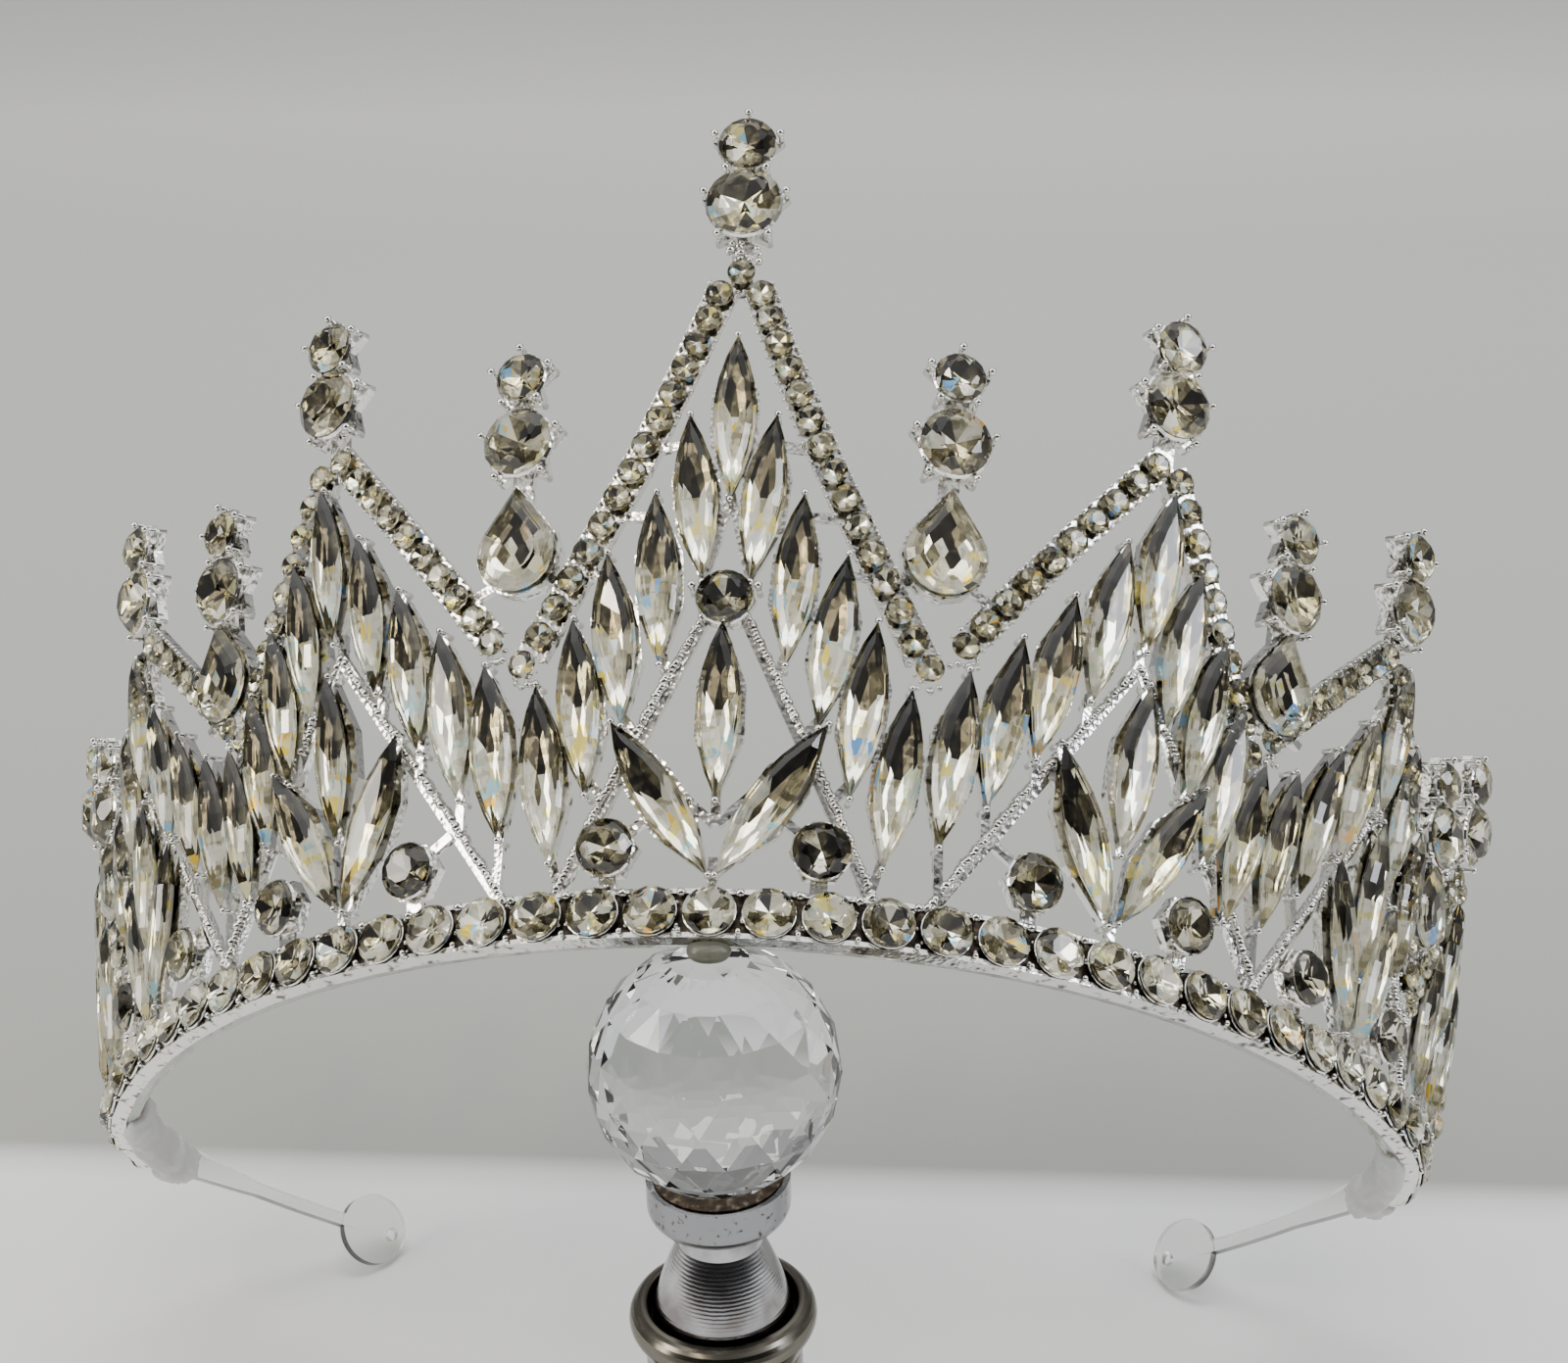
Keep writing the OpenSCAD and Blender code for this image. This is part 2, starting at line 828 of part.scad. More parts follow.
// A wedge of old glue all round the foot of the ball, on the collar
module ball_glue() {
    clear_r = ball_d / 2 + stone_gap;
    bottom = collar_top - ball_z + stone_gap;
    outer_r = collar_d / 2 - 0.6;
    inner_r = outer_r - 2.2;
    color("saddlebrown")
        ball_at()
            rotate_extrude($fn = 48)
                polygon(concat(
                    [[inner_r, bottom], [outer_r, bottom], [outer_r, bottom + 0.1]],
                    [for (r = [outer_r - 1.3:-0.3:inner_r]) [r, -sqrt(clear_r * clear_r - r * r)]]
                ));
}

module ball_collar() {
    r = collar_d / 2;
    edge = 1.6;
    color("lightgray")
        difference() {
            rotate_extrude($fn = 64)
                polygon(concat(
                    [[0, collar_low]],
                    [for (a = [-90:15:0]) [r - edge + edge * cos(a), collar_low + edge + edge * sin(a)]],
                    [[r, collar_top], [0, collar_top]]
                ));
            ball_at()
                sphere(d = ball_d + 2 * stone_gap, $fn = 96);
        }
}

// The neck widens downwards in turned steps
module ringed_neck() {
    top_r = 3.8;
    low_r = 6.4;
    swell = 1.5;
    plain_h = 2.5;
    ring_step = 0.06;
    rings = 12;
    ring_h = (collar_low - neck_low - plain_h) / rings;
    color("darkgray")
        rotate_extrude($fn = 64)
            polygon(concat(
                [[0, collar_low], [top_r, collar_low], [top_r, neck_low + rings * ring_h]],
                [
                    for (k = [0:rings - 1])
                        let (
                            up = 1 - (k + 1) / rings,
                            r = top_r + (low_r - top_r) * (1 - pow(up, swell)),
                            z = neck_low + (rings - 1 - k) * ring_h
                        )
                        each [[r, z + ring_h * 0.85], [r, z + ring_h * 0.25], [r - ring_step, z]]
                ],
                [[0, neck_low]]
            ));
}

// The rounded ring that the neck stands in
module socket_ring() {
    lip_r = 6.5;
    crest_r = 7;
    outer_r = 8.5;
    crest_h = 1.6;
    crest_z = neck_low + 0.1;
    color("lightgray")
        rotate_extrude($fn = 64)
            polygon(concat(
                [[0, neck_low - stone_gap], [lip_r, neck_low - stone_gap]],
                [
                    for (a = [180:-15:-45])
                        let (reach = a > 90 ? crest_r - lip_r : outer_r - crest_r)
                        [crest_r + reach * cos(a), crest_z + crest_h * sin(a)]
                ],
                [[post_d / 2, socket_low], [0, socket_low]]
            ));
}

module stand_post() {
    flare = 3;
    color("rosybrown")
        rotate_extrude($fn = 96)
            polygon(concat(
                [[0, 0], [foot_d / 2, 0], [foot_d / 2, foot_t - 1.5], [foot_d / 2 - 1.5, foot_t]],
                [
                    for (a = [0:15:90])
                        [post_d / 2 + flare - flare * sin(a), foot_t + flare - flare * cos(a)]
                ],
                [[post_d / 2, socket_low - stone_gap], [0, socket_low - stone_gap]]
            ));
}

crown_frame();
band_stones();
zigzag_stones();
marquises_centre();
marquises_left();
marquises_right();
arrow_marquises();
post_stones();
arrow_stone();
clear_headband();
glue_pad_left();
glue_pad_right();
glue_nub();
crystal_ball();
ball_glue();
ball_collar();
ringed_neck();
socket_ring();
stand_post();
for (i = [1:len(finials)])
    crown_stone(finials[i - 1]);
for (i = [1:len(drops)])
    crown_stone(drops[i - 1]);
for (i = [1:len(pears)])
    pear_drop(pears[i - 1]);
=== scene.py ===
import bpy
import math
import random
from mathutils import Matrix, Vector


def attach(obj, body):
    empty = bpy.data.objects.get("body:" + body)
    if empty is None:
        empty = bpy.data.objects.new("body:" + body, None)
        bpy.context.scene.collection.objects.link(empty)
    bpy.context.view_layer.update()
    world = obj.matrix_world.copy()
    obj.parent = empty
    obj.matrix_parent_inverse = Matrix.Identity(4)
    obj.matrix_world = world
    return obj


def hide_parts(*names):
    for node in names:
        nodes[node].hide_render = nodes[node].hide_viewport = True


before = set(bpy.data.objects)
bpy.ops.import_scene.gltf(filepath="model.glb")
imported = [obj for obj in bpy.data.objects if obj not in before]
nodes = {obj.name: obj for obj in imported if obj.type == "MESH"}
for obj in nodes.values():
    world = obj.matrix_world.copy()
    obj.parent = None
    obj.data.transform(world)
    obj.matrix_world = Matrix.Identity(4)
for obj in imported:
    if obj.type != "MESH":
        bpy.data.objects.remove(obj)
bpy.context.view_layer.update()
bpy.ops.object.select_all(action="DESELECT")


# The room
# A pale floor that turns to the grey of the wall 63 mm behind the stand, under soft lamps. The grey
# is painted darkest at the step and lighter further back: painted light for a wall lit more brightly
# towards its top. The dim front of the room gives the cut stones their dark facets.

def hue(code):
    """An sRGB hex colour as linear RGBA"""
    parts = [int(code[i:i + 2], 16) / 255 for i in (1, 3, 5)]
    return [c / 12.92 if c <= 0.04045 else ((c + 0.055) / 1.055) ** 2.4 for c in parts] + [1]


def fill(made, inputs):
    """Gives inputs of a node their links, colours or numbers"""
    for name, value in inputs.items():
        if isinstance(value, bpy.types.NodeSocket):
            made.id_data.links.new(value, made.inputs[name])
        else:
            made.inputs[name].default_value = hue(value) if isinstance(value, str) else value


def node(tree, kind, settings={}, inputs={}, stops=()):
    """Adds a shader node with its settings, its inputs and the stops of its ramp"""
    made = tree.nodes.new("ShaderNode" + kind)
    for name, value in settings.items():
        setattr(made, name, value)
    for number, (place, shade) in enumerate(stops):
        if number > 1:
            made.color_ramp.elements.new(place)
        made.color_ramp.elements[number].position = place
        made.color_ramp.elements[number].color = (
            hue(shade) if isinstance(shade, str) else [shade] * 3 + [1])
    fill(made, inputs)
    return made


def new_material(name):
    """A material with its tree, its shader, and the place of each point in metres"""
    made = bpy.data.materials.new(name)
    made.use_nodes = True
    tree = made.node_tree
    return made, tree, tree.nodes["Principled BSDF"], node(tree, "TexCoord").outputs["Object"]


# White board, painted matt: it shows no gloss, and only the soft shadows of the stand and the tips
white_board, tree, shader, spot = new_material("white board, painted matt")
along = node(tree, "SeparateXYZ", {}, {"Vector": spot}).outputs["Y"]
# Past the step the grey is darkest and lightens further back: painted light for a wall lit more
# brightly towards its top
fill(shader, {"Roughness": 0.8, "Base Color": node(tree, "ValToRGB", {}, {"Fac": along}, [
    (0.0, "#C8C9C9"), (0.0615, "#C8C9C9"), (0.0645, "#868783"), (0.2, "#959693"),
    (0.63, "#B2B3B0"), (0.95, "#D0D0CD")]).outputs["Color"]})
bpy.ops.mesh.primitive_plane_add(size=8, location=(0, 0, -0.00005))
floor = bpy.context.object
floor.name = "floor"
floor.data.materials.append(white_board)

world = bpy.data.worlds.new("dim room with a bright ceiling")
bpy.context.scene.world = world
world.use_nodes = True
tree = world.node_tree
# Share of the light by height, from straight down to straight up, and from the front to the back
ways = node(tree, "SeparateXYZ", {}, {"Vector": node(tree, "TexCoord").outputs["Generated"]})
up = node(tree, "MapRange", {}, {"Value": ways.outputs["Z"], "From Min": -1.0, "From Max": 1.0})
back = node(tree, "MapRange", {}, {"Value": ways.outputs["Y"], "From Min": -1.0, "From Max": 1.0})
room = node(tree, "Mix", {"data_type": "RGBA", "blend_type": "MULTIPLY"}, {
    0: 1.0,
    6: node(tree, "ValToRGB", {}, {"Fac": up.outputs["Result"]}, [
        (0.0, 0.30), (0.5, 0.34), (0.62, 0.22), (0.80, 0.42), (0.88, 1.5),
        (1.0, 2.2)]).outputs["Color"],
    7: node(tree, "ValToRGB", {}, {"Fac": back.outputs["Result"]}, [
        (0.0, 0.10), (0.25, 0.12), (0.42, 0.55), (0.6, 1.0), (1.0, 1.0)]).outputs["Color"]})
fill(tree.nodes["Background"], {"Color": room.outputs[2], "Strength": 1.0})


def lamp(name, place, size, watts, tint="#FFFFFF"):
    """A soft panel that faces the tiara"""
    bpy.ops.object.light_add(type="AREA", location=place)
    made = bpy.context.object
    made.name = name
    made.data.shape = "RECTANGLE"
    made.data.size, made.data.size_y = size
    made.data.energy = watts
    made.data.color = hue(tint)[:3]
    made.rotation_euler = (Vector((0, 0, 0.05)) - Vector(place)).to_track_quat("-Z", "Y").to_euler()
    return made


ceiling = lamp("ceiling_panel", (0.0, 0.15, 1.1), (0.9, 0.5), 9)
lamp("left_panel", (-0.75, -0.25, 0.55), (0.25, 0.5), 5.2, "#FFF8EE")
lamp("right_panel", (0.8, -0.1, 0.6), (0.22, 0.45), 4.0, "#F2F6FF")
front = lamp("front_panel", (0.1, -0.55, 0.95), (0.7, 0.22), 4.5, "#FFFBF2")
# No flat face shows these two as a pale square, but they still light what lies behind the glass
for wide_lamp in (ceiling, front):
    wide_lamp.visible_glossy = False
lamp("small_lamp", (-0.3, -0.35, 0.9), (0.07, 0.07), 0.9, "#FFF1DC")

# The camera stands where the photograph was taken, solved from the places of the stones in it
bpy.ops.object.camera_add(
    location=(0.02172, -0.16574, 0.15912),
    rotation=[math.radians(a) for a in (67.71, 1.236, 4.625)])
camera = bpy.context.object
camera.data.lens = 51.75
camera.data.sensor_width = 36
camera.data.clip_start = 0.01
bpy.context.scene.camera = camera


# The stand
# A lamp finial: nickel-plated post and socket ring, a turned steel neck with fine tool rings, and
# a chromed collar with a brown wedge of old glue under the ball.

def put_on(material, names):
    """Gives CAD nodes their finish"""
    for name in names:
        nodes[name].data.materials.clear()
        nodes[name].data.materials.append(material)


# Chrome over turned brass: a dull mirror in cool grey, with dark pits where the chrome has gone
chrome, tree, shader, spot = new_material("chrome over turned brass")
pits = node(tree, "ValToRGB", {}, {"Fac": node(tree, "TexNoise", {}, {
    "Vector": spot, "Scale": 1600.0, "Detail": 5.0}).outputs["Fac"]}, [(0.6, 0.0), (0.68, 1.0)])
ripple = node(tree, "TexNoise", {}, {"Vector": spot, "Scale": 900.0, "Detail": 4.0})
colour = node(tree, "Mix", {"data_type": "RGBA"}, {
    0: pits.outputs["Color"], 6: "#8F9093", 7: "#4A4741"})
fill(shader, {
    "Base Color": colour.outputs[2], "Metallic": 1.0, "Roughness": 0.2,
    "Normal": node(tree, "Bump", {}, {
        "Height": ripple.outputs["Fac"], "Distance": 0.00002, "Strength": 0.5}).outputs["Normal"]})
put_on(chrome, ["ball_collar"])

# Bare steel off the lathe: grey, nearly polished, with fine tool rings that break up what it
# mirrors, and brown grime at its foot. The rings are drawn 0.35 mm apart, coarser than they are.
steel, tree, shader, spot = new_material("bare turned steel")
rings = node(tree, "TexWave", {"wave_type": "BANDS", "bands_direction": "Z"}, {
    "Vector": spot, "Scale": 900.0, "Distortion": 1.2, "Detail": 2.0, "Detail Scale": 2.0})
patches = node(tree, "ValToRGB", {}, {"Fac": node(tree, "TexNoise", {}, {
    "Vector": spot, "Scale": 300.0, "Detail": 4.0}).outputs["Fac"]}, [(0.35, 0.0), (0.7, 1.0)])
z = node(tree, "SeparateXYZ", {}, {"Vector": spot}).outputs["Z"]
foot = node(tree, "MapRange", {}, {"Value": z, "From Min": 0.0298, "From Max": 0.0322})
grime = node(tree, "ValToRGB", {}, {"Fac": foot.outputs["Result"]}, [(0.0, 1.0), (0.7, 0.0)])
colour = node(tree, "Mix", {"data_type": "RGBA"}, {
    0: patches.outputs["Color"], 6: "#B4B5B8", 7: "#807B7A"})
colour = node(tree, "Mix", {"data_type": "RGBA"}, {
    0: grime.outputs["Color"], 6: colour.outputs[2], 7: "#2E2019"})
fill(shader, {
    "Base Color": colour.outputs[2], "Metallic": 1.0, "Roughness": 0.17,
    "Normal": node(tree, "Bump", {}, {
        "Height": rings.outputs["Fac"], "Distance": 0.000014, "Strength": 0.4}).outputs["Normal"]})

# Nickel over spun brass: a warm beige grey, bright, and a little cloudy from handling. Dark grime
# has caught in the groove round the neck.
nickel, tree, shader, spot = new_material("nickel over spun brass")
wear = node(tree, "ValToRGB", {}, {"Fac": node(tree, "TexNoise", {}, {
    "Vector": spot, "Scale": 200.0, "Detail": 5.0}).outputs["Fac"]}, [(0.3, 0.13), (0.75, 0.3)])
colour = node(tree, "Mix", {"data_type": "RGBA"}, {
    0: wear.outputs["Color"], 6: "#77736A", 7: "#464139"})
flat_spot = node(tree, "VectorMath", {"operation": "MULTIPLY"}, {0: spot, 1: (1.0, 1.0, 0.0)})
out = node(tree, "VectorMath", {"operation": "LENGTH"}, {0: flat_spot.outputs[0]})
groove = node(tree, "MapRange", {}, {
    "Value": out.outputs["Value"], "From Min": 0.0067, "From Max": 0.0072, "To Min": 1.0,
    "To Max": 0.0})
colour = node(tree, "Mix", {"data_type": "RGBA"}, {
    0: groove.outputs["Result"], 6: colour.outputs[2], 7: "#2A1F18"})
ripple = node(tree, "TexNoise", {}, {"Vector": spot, "Scale": 600.0, "Detail": 3.0})
fill(shader, {
    "Base Color": colour.outputs[2], "Metallic": 1.0, "Roughness": wear.outputs["Color"],
    "Normal": node(tree, "Bump", {}, {
        "Height": ripple.outputs["Fac"], "Distance": 0.00002, "Strength": 0.3}).outputs["Normal"]})
put_on(nickel, ["socket_ring", "stand_post"])

# Contact glue gone brown: dull, crumbly and dark, with paler grains of dust in it
brown_glue, tree, shader, spot = new_material("contact glue gone brown")
crumbs = node(tree, "TexNoise", {}, {"Vector": spot, "Scale": 1400.0, "Detail": 4.0})
colour = node(tree, "ValToRGB", {}, {"Fac": crumbs.outputs["Fac"]}, [
    (0.35, "#1E150E"), (0.55, "#463524"), (0.72, "#8A8070")])
fill(shader, {
    "Base Color": colour.outputs["Color"], "Roughness": 0.8,
    "Normal": node(tree, "Bump", {}, {
        "Height": crumbs.outputs["Fac"], "Distance": 0.0002, "Strength": 1.0}).outputs["Normal"]})
put_on(brown_glue, ["ball_glue"])

NECK_LOW, BELL_H, PLAIN_H, NECK_TOP_R, NECK_LOW_R = 29.1689, 8.2, 2.5, 3.8, 6.4
SWELL, NECK_STEPS = 1.5, 12
for k in range(NECK_STEPS + 1):
    up = k / NECK_STEPS
    bpy.ops.mesh.primitive_circle_add(
        vertices=64, radius=NECK_TOP_R + (NECK_LOW_R - NECK_TOP_R) * (1 - up ** SWELL),
        location=(0, 0, NECK_LOW + BELL_H * up))
    if k == 0:
        bpy.ops.object.transform_apply()
        bpy.ops.object.mode_set(mode="EDIT")
bpy.ops.mesh.select_all(action="SELECT")
bpy.ops.mesh.convex_hull(join_triangles=False)
bpy.ops.mesh.primitive_cylinder_add(vertices=64, radius=NECK_TOP_R, depth=PLAIN_H,
                                    location=(0, 0, NECK_LOW + BELL_H + PLAIN_H / 2))
bpy.ops.object.mode_set(mode="OBJECT")
bpy.ops.object.shade_smooth_by_angle(angle=math.radians(50))
neck = bpy.context.object
neck.name = "turned_neck"
neck.data.transform(Matrix.Scale(0.001, 4))
neck.data.materials.append(steel)
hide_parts("ringed_neck")
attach(neck, "root")


# The glass ball
# Clear glass, 22.2 mm across, ground all over into triangular facets in staggered rows, with a
# flat at its foot where it is glued onto the collar.

def select(what):
    """Makes one object the only selected and the active one"""
    bpy.ops.object.select_all(action="DESELECT")
    what.select_set(True)
    bpy.context.view_layer.objects.active = what


BALL_MM, BALL_Z, ROWS, AROUND = 22.2, 54.8689, 9, 16
for k in range(ROWS):
    tilt = math.radians(-90 + 180 * (k + 1) / (ROWS + 1))
    bpy.ops.mesh.primitive_circle_add(
        vertices=AROUND, radius=BALL_MM / 2 * math.cos(tilt),
        location=(0, 0, BALL_MM / 2 * math.sin(tilt)), rotation=(0, 0, math.pi / AROUND * (k % 2)))
    if k == 0:
        bpy.ops.object.transform_apply()
        bpy.ops.object.mode_set(mode="EDIT")
bpy.ops.mesh.select_all(action="SELECT")
bpy.ops.mesh.convex_hull(join_triangles=False)
bpy.ops.object.mode_set(mode="OBJECT")
ball = bpy.context.object
ball.name = "faceted_ball"
ball.data.transform(Matrix.Scale(0.001, 4) @ Matrix.Translation((0, 0, BALL_Z)))
# Optical glass, ground and polished: colourless, clear through, bright on its edges
ball_glass, _, shader, _ = new_material("polished optical glass")
fill(shader, {"Base Color": "#F3F6F5", "Transmission Weight": 1.0, "IOR": 1.52, "Roughness": 0.0})
ball.data.materials.append(ball_glass)
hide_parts("crystal_ball")
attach(ball, "root")


# The headband
# A strap of clear moulded plastic with a disc at each end. The metal ends are stuck to it with
# hot glue, which has set milky, and a yellowed blob of it sits between the ball and the band.

# Injection-moulded acrylic, handled for years: clear, with a faint haze and slow ripples in it
acrylic, tree, shader, spot = new_material("injection-moulded acrylic")
ripple = node(tree, "TexNoise", {}, {"Vector": spot, "Scale": 250.0, "Detail": 2.0})
fill(shader, {
    "Base Color": "#F2F4F0", "Transmission Weight": 1.0, "IOR": 1.46, "Roughness": 0.12,
    "Normal": node(tree, "Bump", {}, {
        "Height": ripple.outputs["Fac"], "Distance": 0.00005, "Strength": 0.4}).outputs["Normal"]})
put_on(acrylic, ["clear_headband"])

# Hot-melt glue, set in soft lumps: milky white and waxy. Light passes into it, but no shape shows
# through.
hot_glue, tree, shader, spot = new_material("hot-melt glue, set milky")
lumps = node(tree, "TexNoise", {}, {"Vector": spot, "Scale": 420.0, "Detail": 3.0})
colour = node(tree, "Mix", {"data_type": "RGBA"}, {
    0: lumps.outputs["Fac"], 6: "#FFFFFD", 7: "#EFF0EA"})
fill(shader, {
    "Base Color": colour.outputs[2], "Transmission Weight": 0.45, "IOR": 1.4, "Roughness": 0.3,
    "Subsurface Weight": 0.3, "Subsurface Scale": 0.001,
    "Normal": node(tree, "Bump", {}, {
        "Height": lumps.outputs["Fac"], "Distance": 0.0001, "Strength": 0.4}).outputs["Normal"]})

# The same glue yellowed with age: olive, duller, and a little clear at its thin edges
old_glue, tree, shader, spot = new_material("hot-melt glue, yellowed")
lumps = node(tree, "TexNoise", {}, {"Vector": spot, "Scale": 700.0, "Detail": 3.0})
colour = node(tree, "Mix", {"data_type": "RGBA"}, {
    0: lumps.outputs["Fac"], 6: "#A0A192", 7: "#7E7E69"})
fill(shader, {
    "Base Color": colour.outputs[2], "Transmission Weight": 0.8, "IOR": 1.48, "Roughness": 0.3,
    "Normal": node(tree, "Bump", {}, {
        "Height": lumps.outputs["Fac"], "Distance": 0.00015, "Strength": 0.8}).outputs["Normal"]})
put_on(old_glue, ["glue_nub"])

# The tiara tips back on the ball, and its crown leans out from the band, both in degrees
TIP_BACK, LEAN = 56, 14
# Where that puts the middle of the band, and the band's plan, in mm: a wide arc in front, tight
# turns from FRONT_REACH on, and the end of the metal
AHEAD, LIFT, BAND_R = 1.2, 68.9689, 70
FRONT_REACH, TURN_R, METAL_REACH = 82, 20, 96


def turned(angle, axis):
    """A turn in degrees about an axis"""
    return Matrix.Rotation(math.radians(angle), 4, axis)


resting = (Matrix.Scale(0.001, 4) @ Matrix.Translation((0, AHEAD, LIFT))
           @ turned(-TIP_BACK, "X"))


def band(s, h, at=(0, 0, 0), size=1.0):
    """A place on the band, in mm: s along it and h up it from the middle of its stones. At moves
    it from there, with x along the band, y up it and z outwards, and size is a scale"""
    reach, side = min(abs(s), FRONT_REACH), 1 if s >= 0 else -1
    a = reach / BAND_R
    b = a + (abs(s) - reach) / TURN_R
    x = BAND_R * math.sin(a) + TURN_R * (math.sin(b) - math.sin(a))
    y = BAND_R - BAND_R * math.cos(a) + TURN_R * (math.cos(a) - math.cos(b))
    return (resting @ Matrix.Translation((side * x, y, h)) @ turned(math.degrees(side * b), "Z")
            @ turned(90, "X") @ Matrix.Translation(at) @ Matrix.Scale(size, 4))


def laid(name, models, places):
    """One piece of copies of the models, each at its place"""
    copies = []
    for number, place in enumerate(places):
        copy = models[number % len(models)].copy()
        copy.data = copy.data.copy()
        copy.data.transform(place)
        bpy.context.collection.objects.link(copy)
        copies.append(copy)
    select(copies[0])
    for copy in copies:
        copy.select_set(True)
    if len(copies) > 1:
        bpy.ops.object.join()
    made = bpy.context.object
    made.name = name
    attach(made, "root")
    return made


def away(*models):
    """Models that have been copied go"""
    for model in models:
        bpy.data.objects.remove(model)


random.seed(7)
GLUE_MM, BEFORE_METAL_END, LUMPS, TAPER = 18.5, 14, 60, 9
# Height and depth of the lumps behind the strap, and of those in front of it past the metal
BEHIND = ((-1.4, -2.5), (-0.4, -2.6), (0.6, -2.5), (-2.0, -1.7))
IN_FRONT = ((-1.7, 0.0), (-0.3, -0.3), (0.8, -0.4))
bpy.ops.mesh.primitive_uv_sphere_add(segments=12, ring_count=8, radius=1)
lump = bpy.context.object
lump.data.materials.append(hot_glue)
for side, name in ((-1, "left"), (1, "right")):
    places = []
    for k in range(LUMPS):
        s = METAL_REACH - BEFORE_METAL_END + GLUE_MM * k / (LUMPS - 1)
        ends = min(1, 0.45 + 0.55 * min(k, LUMPS - 1 - k) / TAPER)
        past = s > METAL_REACH + 0.8
        for h, out in BEHIND + (IN_FRONT if past else ()):
            places.append(band(
                side * s, h + random.uniform(-0.25, 0.25),
                (0, 0, out + random.uniform(-0.1, 0.1)), random.uniform(0.75, 1.0) * ends))
    pad = laid("milky_glue_" + name, [lump], places)
    skin = pad.modifiers.new("skin", "REMESH")
    skin.voxel_size = 0.0003
    skin.use_smooth_shade = True
    bpy.ops.object.modifier_apply(modifier="skin")
    worn = pad.modifiers.new("worn", "SMOOTH")
    worn.iterations = 8
    bpy.ops.object.modifier_apply(modifier="worn")
    pad.data.materials.clear()
    pad.data.materials.append(hot_glue)
    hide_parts("glue_pad_" + name)
away(lump)


# The crown's metal
# Zinc alloy cast in a rubber mould, soldered, and silver-plated. Its high places are rubbed bright,
# and painted shade darkens its plating in patches and the floor of its channel.

# Silver over cast zinc: white and bright, grainy, with dark patches scattered at random: painted
# shade that stands for the dark in its crevices. The grain is drawn at 0.5 mm, a little coarser than
# it is.
plating, tree, shader, spot = new_material("silver over cast zinc")
grain = node(tree, "TexVoronoi", {"feature": "F1"}, {"Vector": spot, "Scale": 2000.0})
lumps = node(tree, "TexNoise", {}, {"Vector": spot, "Scale": 1100.0, "Detail": 4.0})
# Where the noise is low the silver turns dark: painted shade, scattered at random, for the dark in
# its crevices
shade_patches = node(tree, "ValToRGB", {}, {"Fac": lumps.outputs["Fac"]}, [(0.34, 1.0), (0.44, 0.0)])
colour = node(tree, "Mix", {"data_type": "RGBA"}, {
    0: shade_patches.outputs["Color"], 6: "#F7F6F2", 7: "#6C685E"})
height = node(tree, "Mix", {"data_type": "FLOAT"}, {
    0: 0.5, 2: grain.outputs["Distance"], 3: lumps.outputs["Fac"]})
fill(shader, {
    "Base Color": colour.outputs[2], "Metallic": 1.0, "Roughness": 0.16,
    "Normal": node(tree, "Bump", {}, {
        "Height": height.outputs[0], "Distance": 0.00009, "Strength": 0.7}).outputs["Normal"]})
put_on(plating, ["crown_frame"])

# The same silver, rubbed where it stands out: nearly white, with small sharp glints
rubbed, tree, shader, spot = new_material("silver, rubbed bright")
lumps = node(tree, "TexNoise", {}, {"Vector": spot, "Scale": 1400.0, "Detail": 3.0})
fill(shader, {
    "Base Color": "#F4F3EF", "Metallic": 1.0, "Roughness": 0.1,
    "Normal": node(tree, "Bump", {}, {
        "Height": lumps.outputs["Fac"], "Distance": 0.00006, "Strength": 0.6}).outputs["Normal"]})

# The same silver painted brown and nearly black, and dull: painted shade for the channel between the
# band's cups
painted_shade, tree, shader, spot = new_material("silver, tarnished in the channel")
lumps = node(tree, "TexNoise", {}, {"Vector": spot, "Scale": 900.0, "Detail": 4.0})
colour = node(tree, "ValToRGB", {}, {"Fac": lumps.outputs["Fac"]}, [
    (0.42, "#1D1813"), (0.6, "#4A4236"), (0.72, "#A59F92")])
fill(shader, {
    "Base Color": colour.outputs["Color"], "Metallic": 0.8, "Roughness": 0.35,
    "Normal": node(tree, "Bump", {}, {
        "Height": lumps.outputs["Fac"], "Distance": 0.00015, "Strength": 0.8}).outputs["Normal"]})


def crown(s, h, turn=0.0, at=(0, 0, 0), size=1.0):
    """The same on the leaning crown, turned clockwise by turn, in degrees"""
    lean = math.radians(LEAN)
    return (resting @ Matrix.Translation((0, BAND_R, 0)) @ turned(math.degrees(s / BAND_R), "Z")
            @ Matrix.Translation((0, -BAND_R - h * math.sin(lean), h * math.cos(lean)))
            @ turned(90 + LEAN, "X") @ turned(-turn, "Z") @ Matrix.Translation(at)
            @ Matrix.Scale(size, 4))


# The stones lie 0.1 mm off the metal, and a row of them runs 0.1 mm above the band's middle
OFF_SEAT, ROW_H = (0, 0, 0.1), 0.1
bpy.ops.mesh.primitive_uv_sphere_add(segments=8, ring_count=5, radius=0.5)
bead = bpy.context.object
bpy.ops.object.shade_smooth()
bead.data.materials.append(rubbed)


# The band
# A channel with two rails. Each of its 39 stones sits in a cup, and the gaps between the cups hold
# prongs and grains over a thin sheet painted nearly black, painted shade in the channel.

BAND_STONE_MM, PITCH, EACH_SIDE = 4.5, 5, 19
FLOOR_W, FLOOR_T, CUP_R, CUP_OUT = 3.6, 0.06, 2.24, 0.7
band_places = [i * PITCH for i in range(-EACH_SIDE, EACH_SIDE + 1)]
# A thin sheet over the band's metal, painted nearly black: painted shade in the gaps between the cups
bpy.ops.mesh.primitive_cube_add(size=1, location=(0, 0, 0.04), scale=(PITCH + 0.02, FLOOR_W, FLOOR_T))
shade_sheet = bpy.context.object
bpy.ops.object.transform_apply()
shade_sheet.data.materials.append(painted_shade)
laid("band_shade_sheet", [shade_sheet], [band(s, ROW_H) for s in band_places])

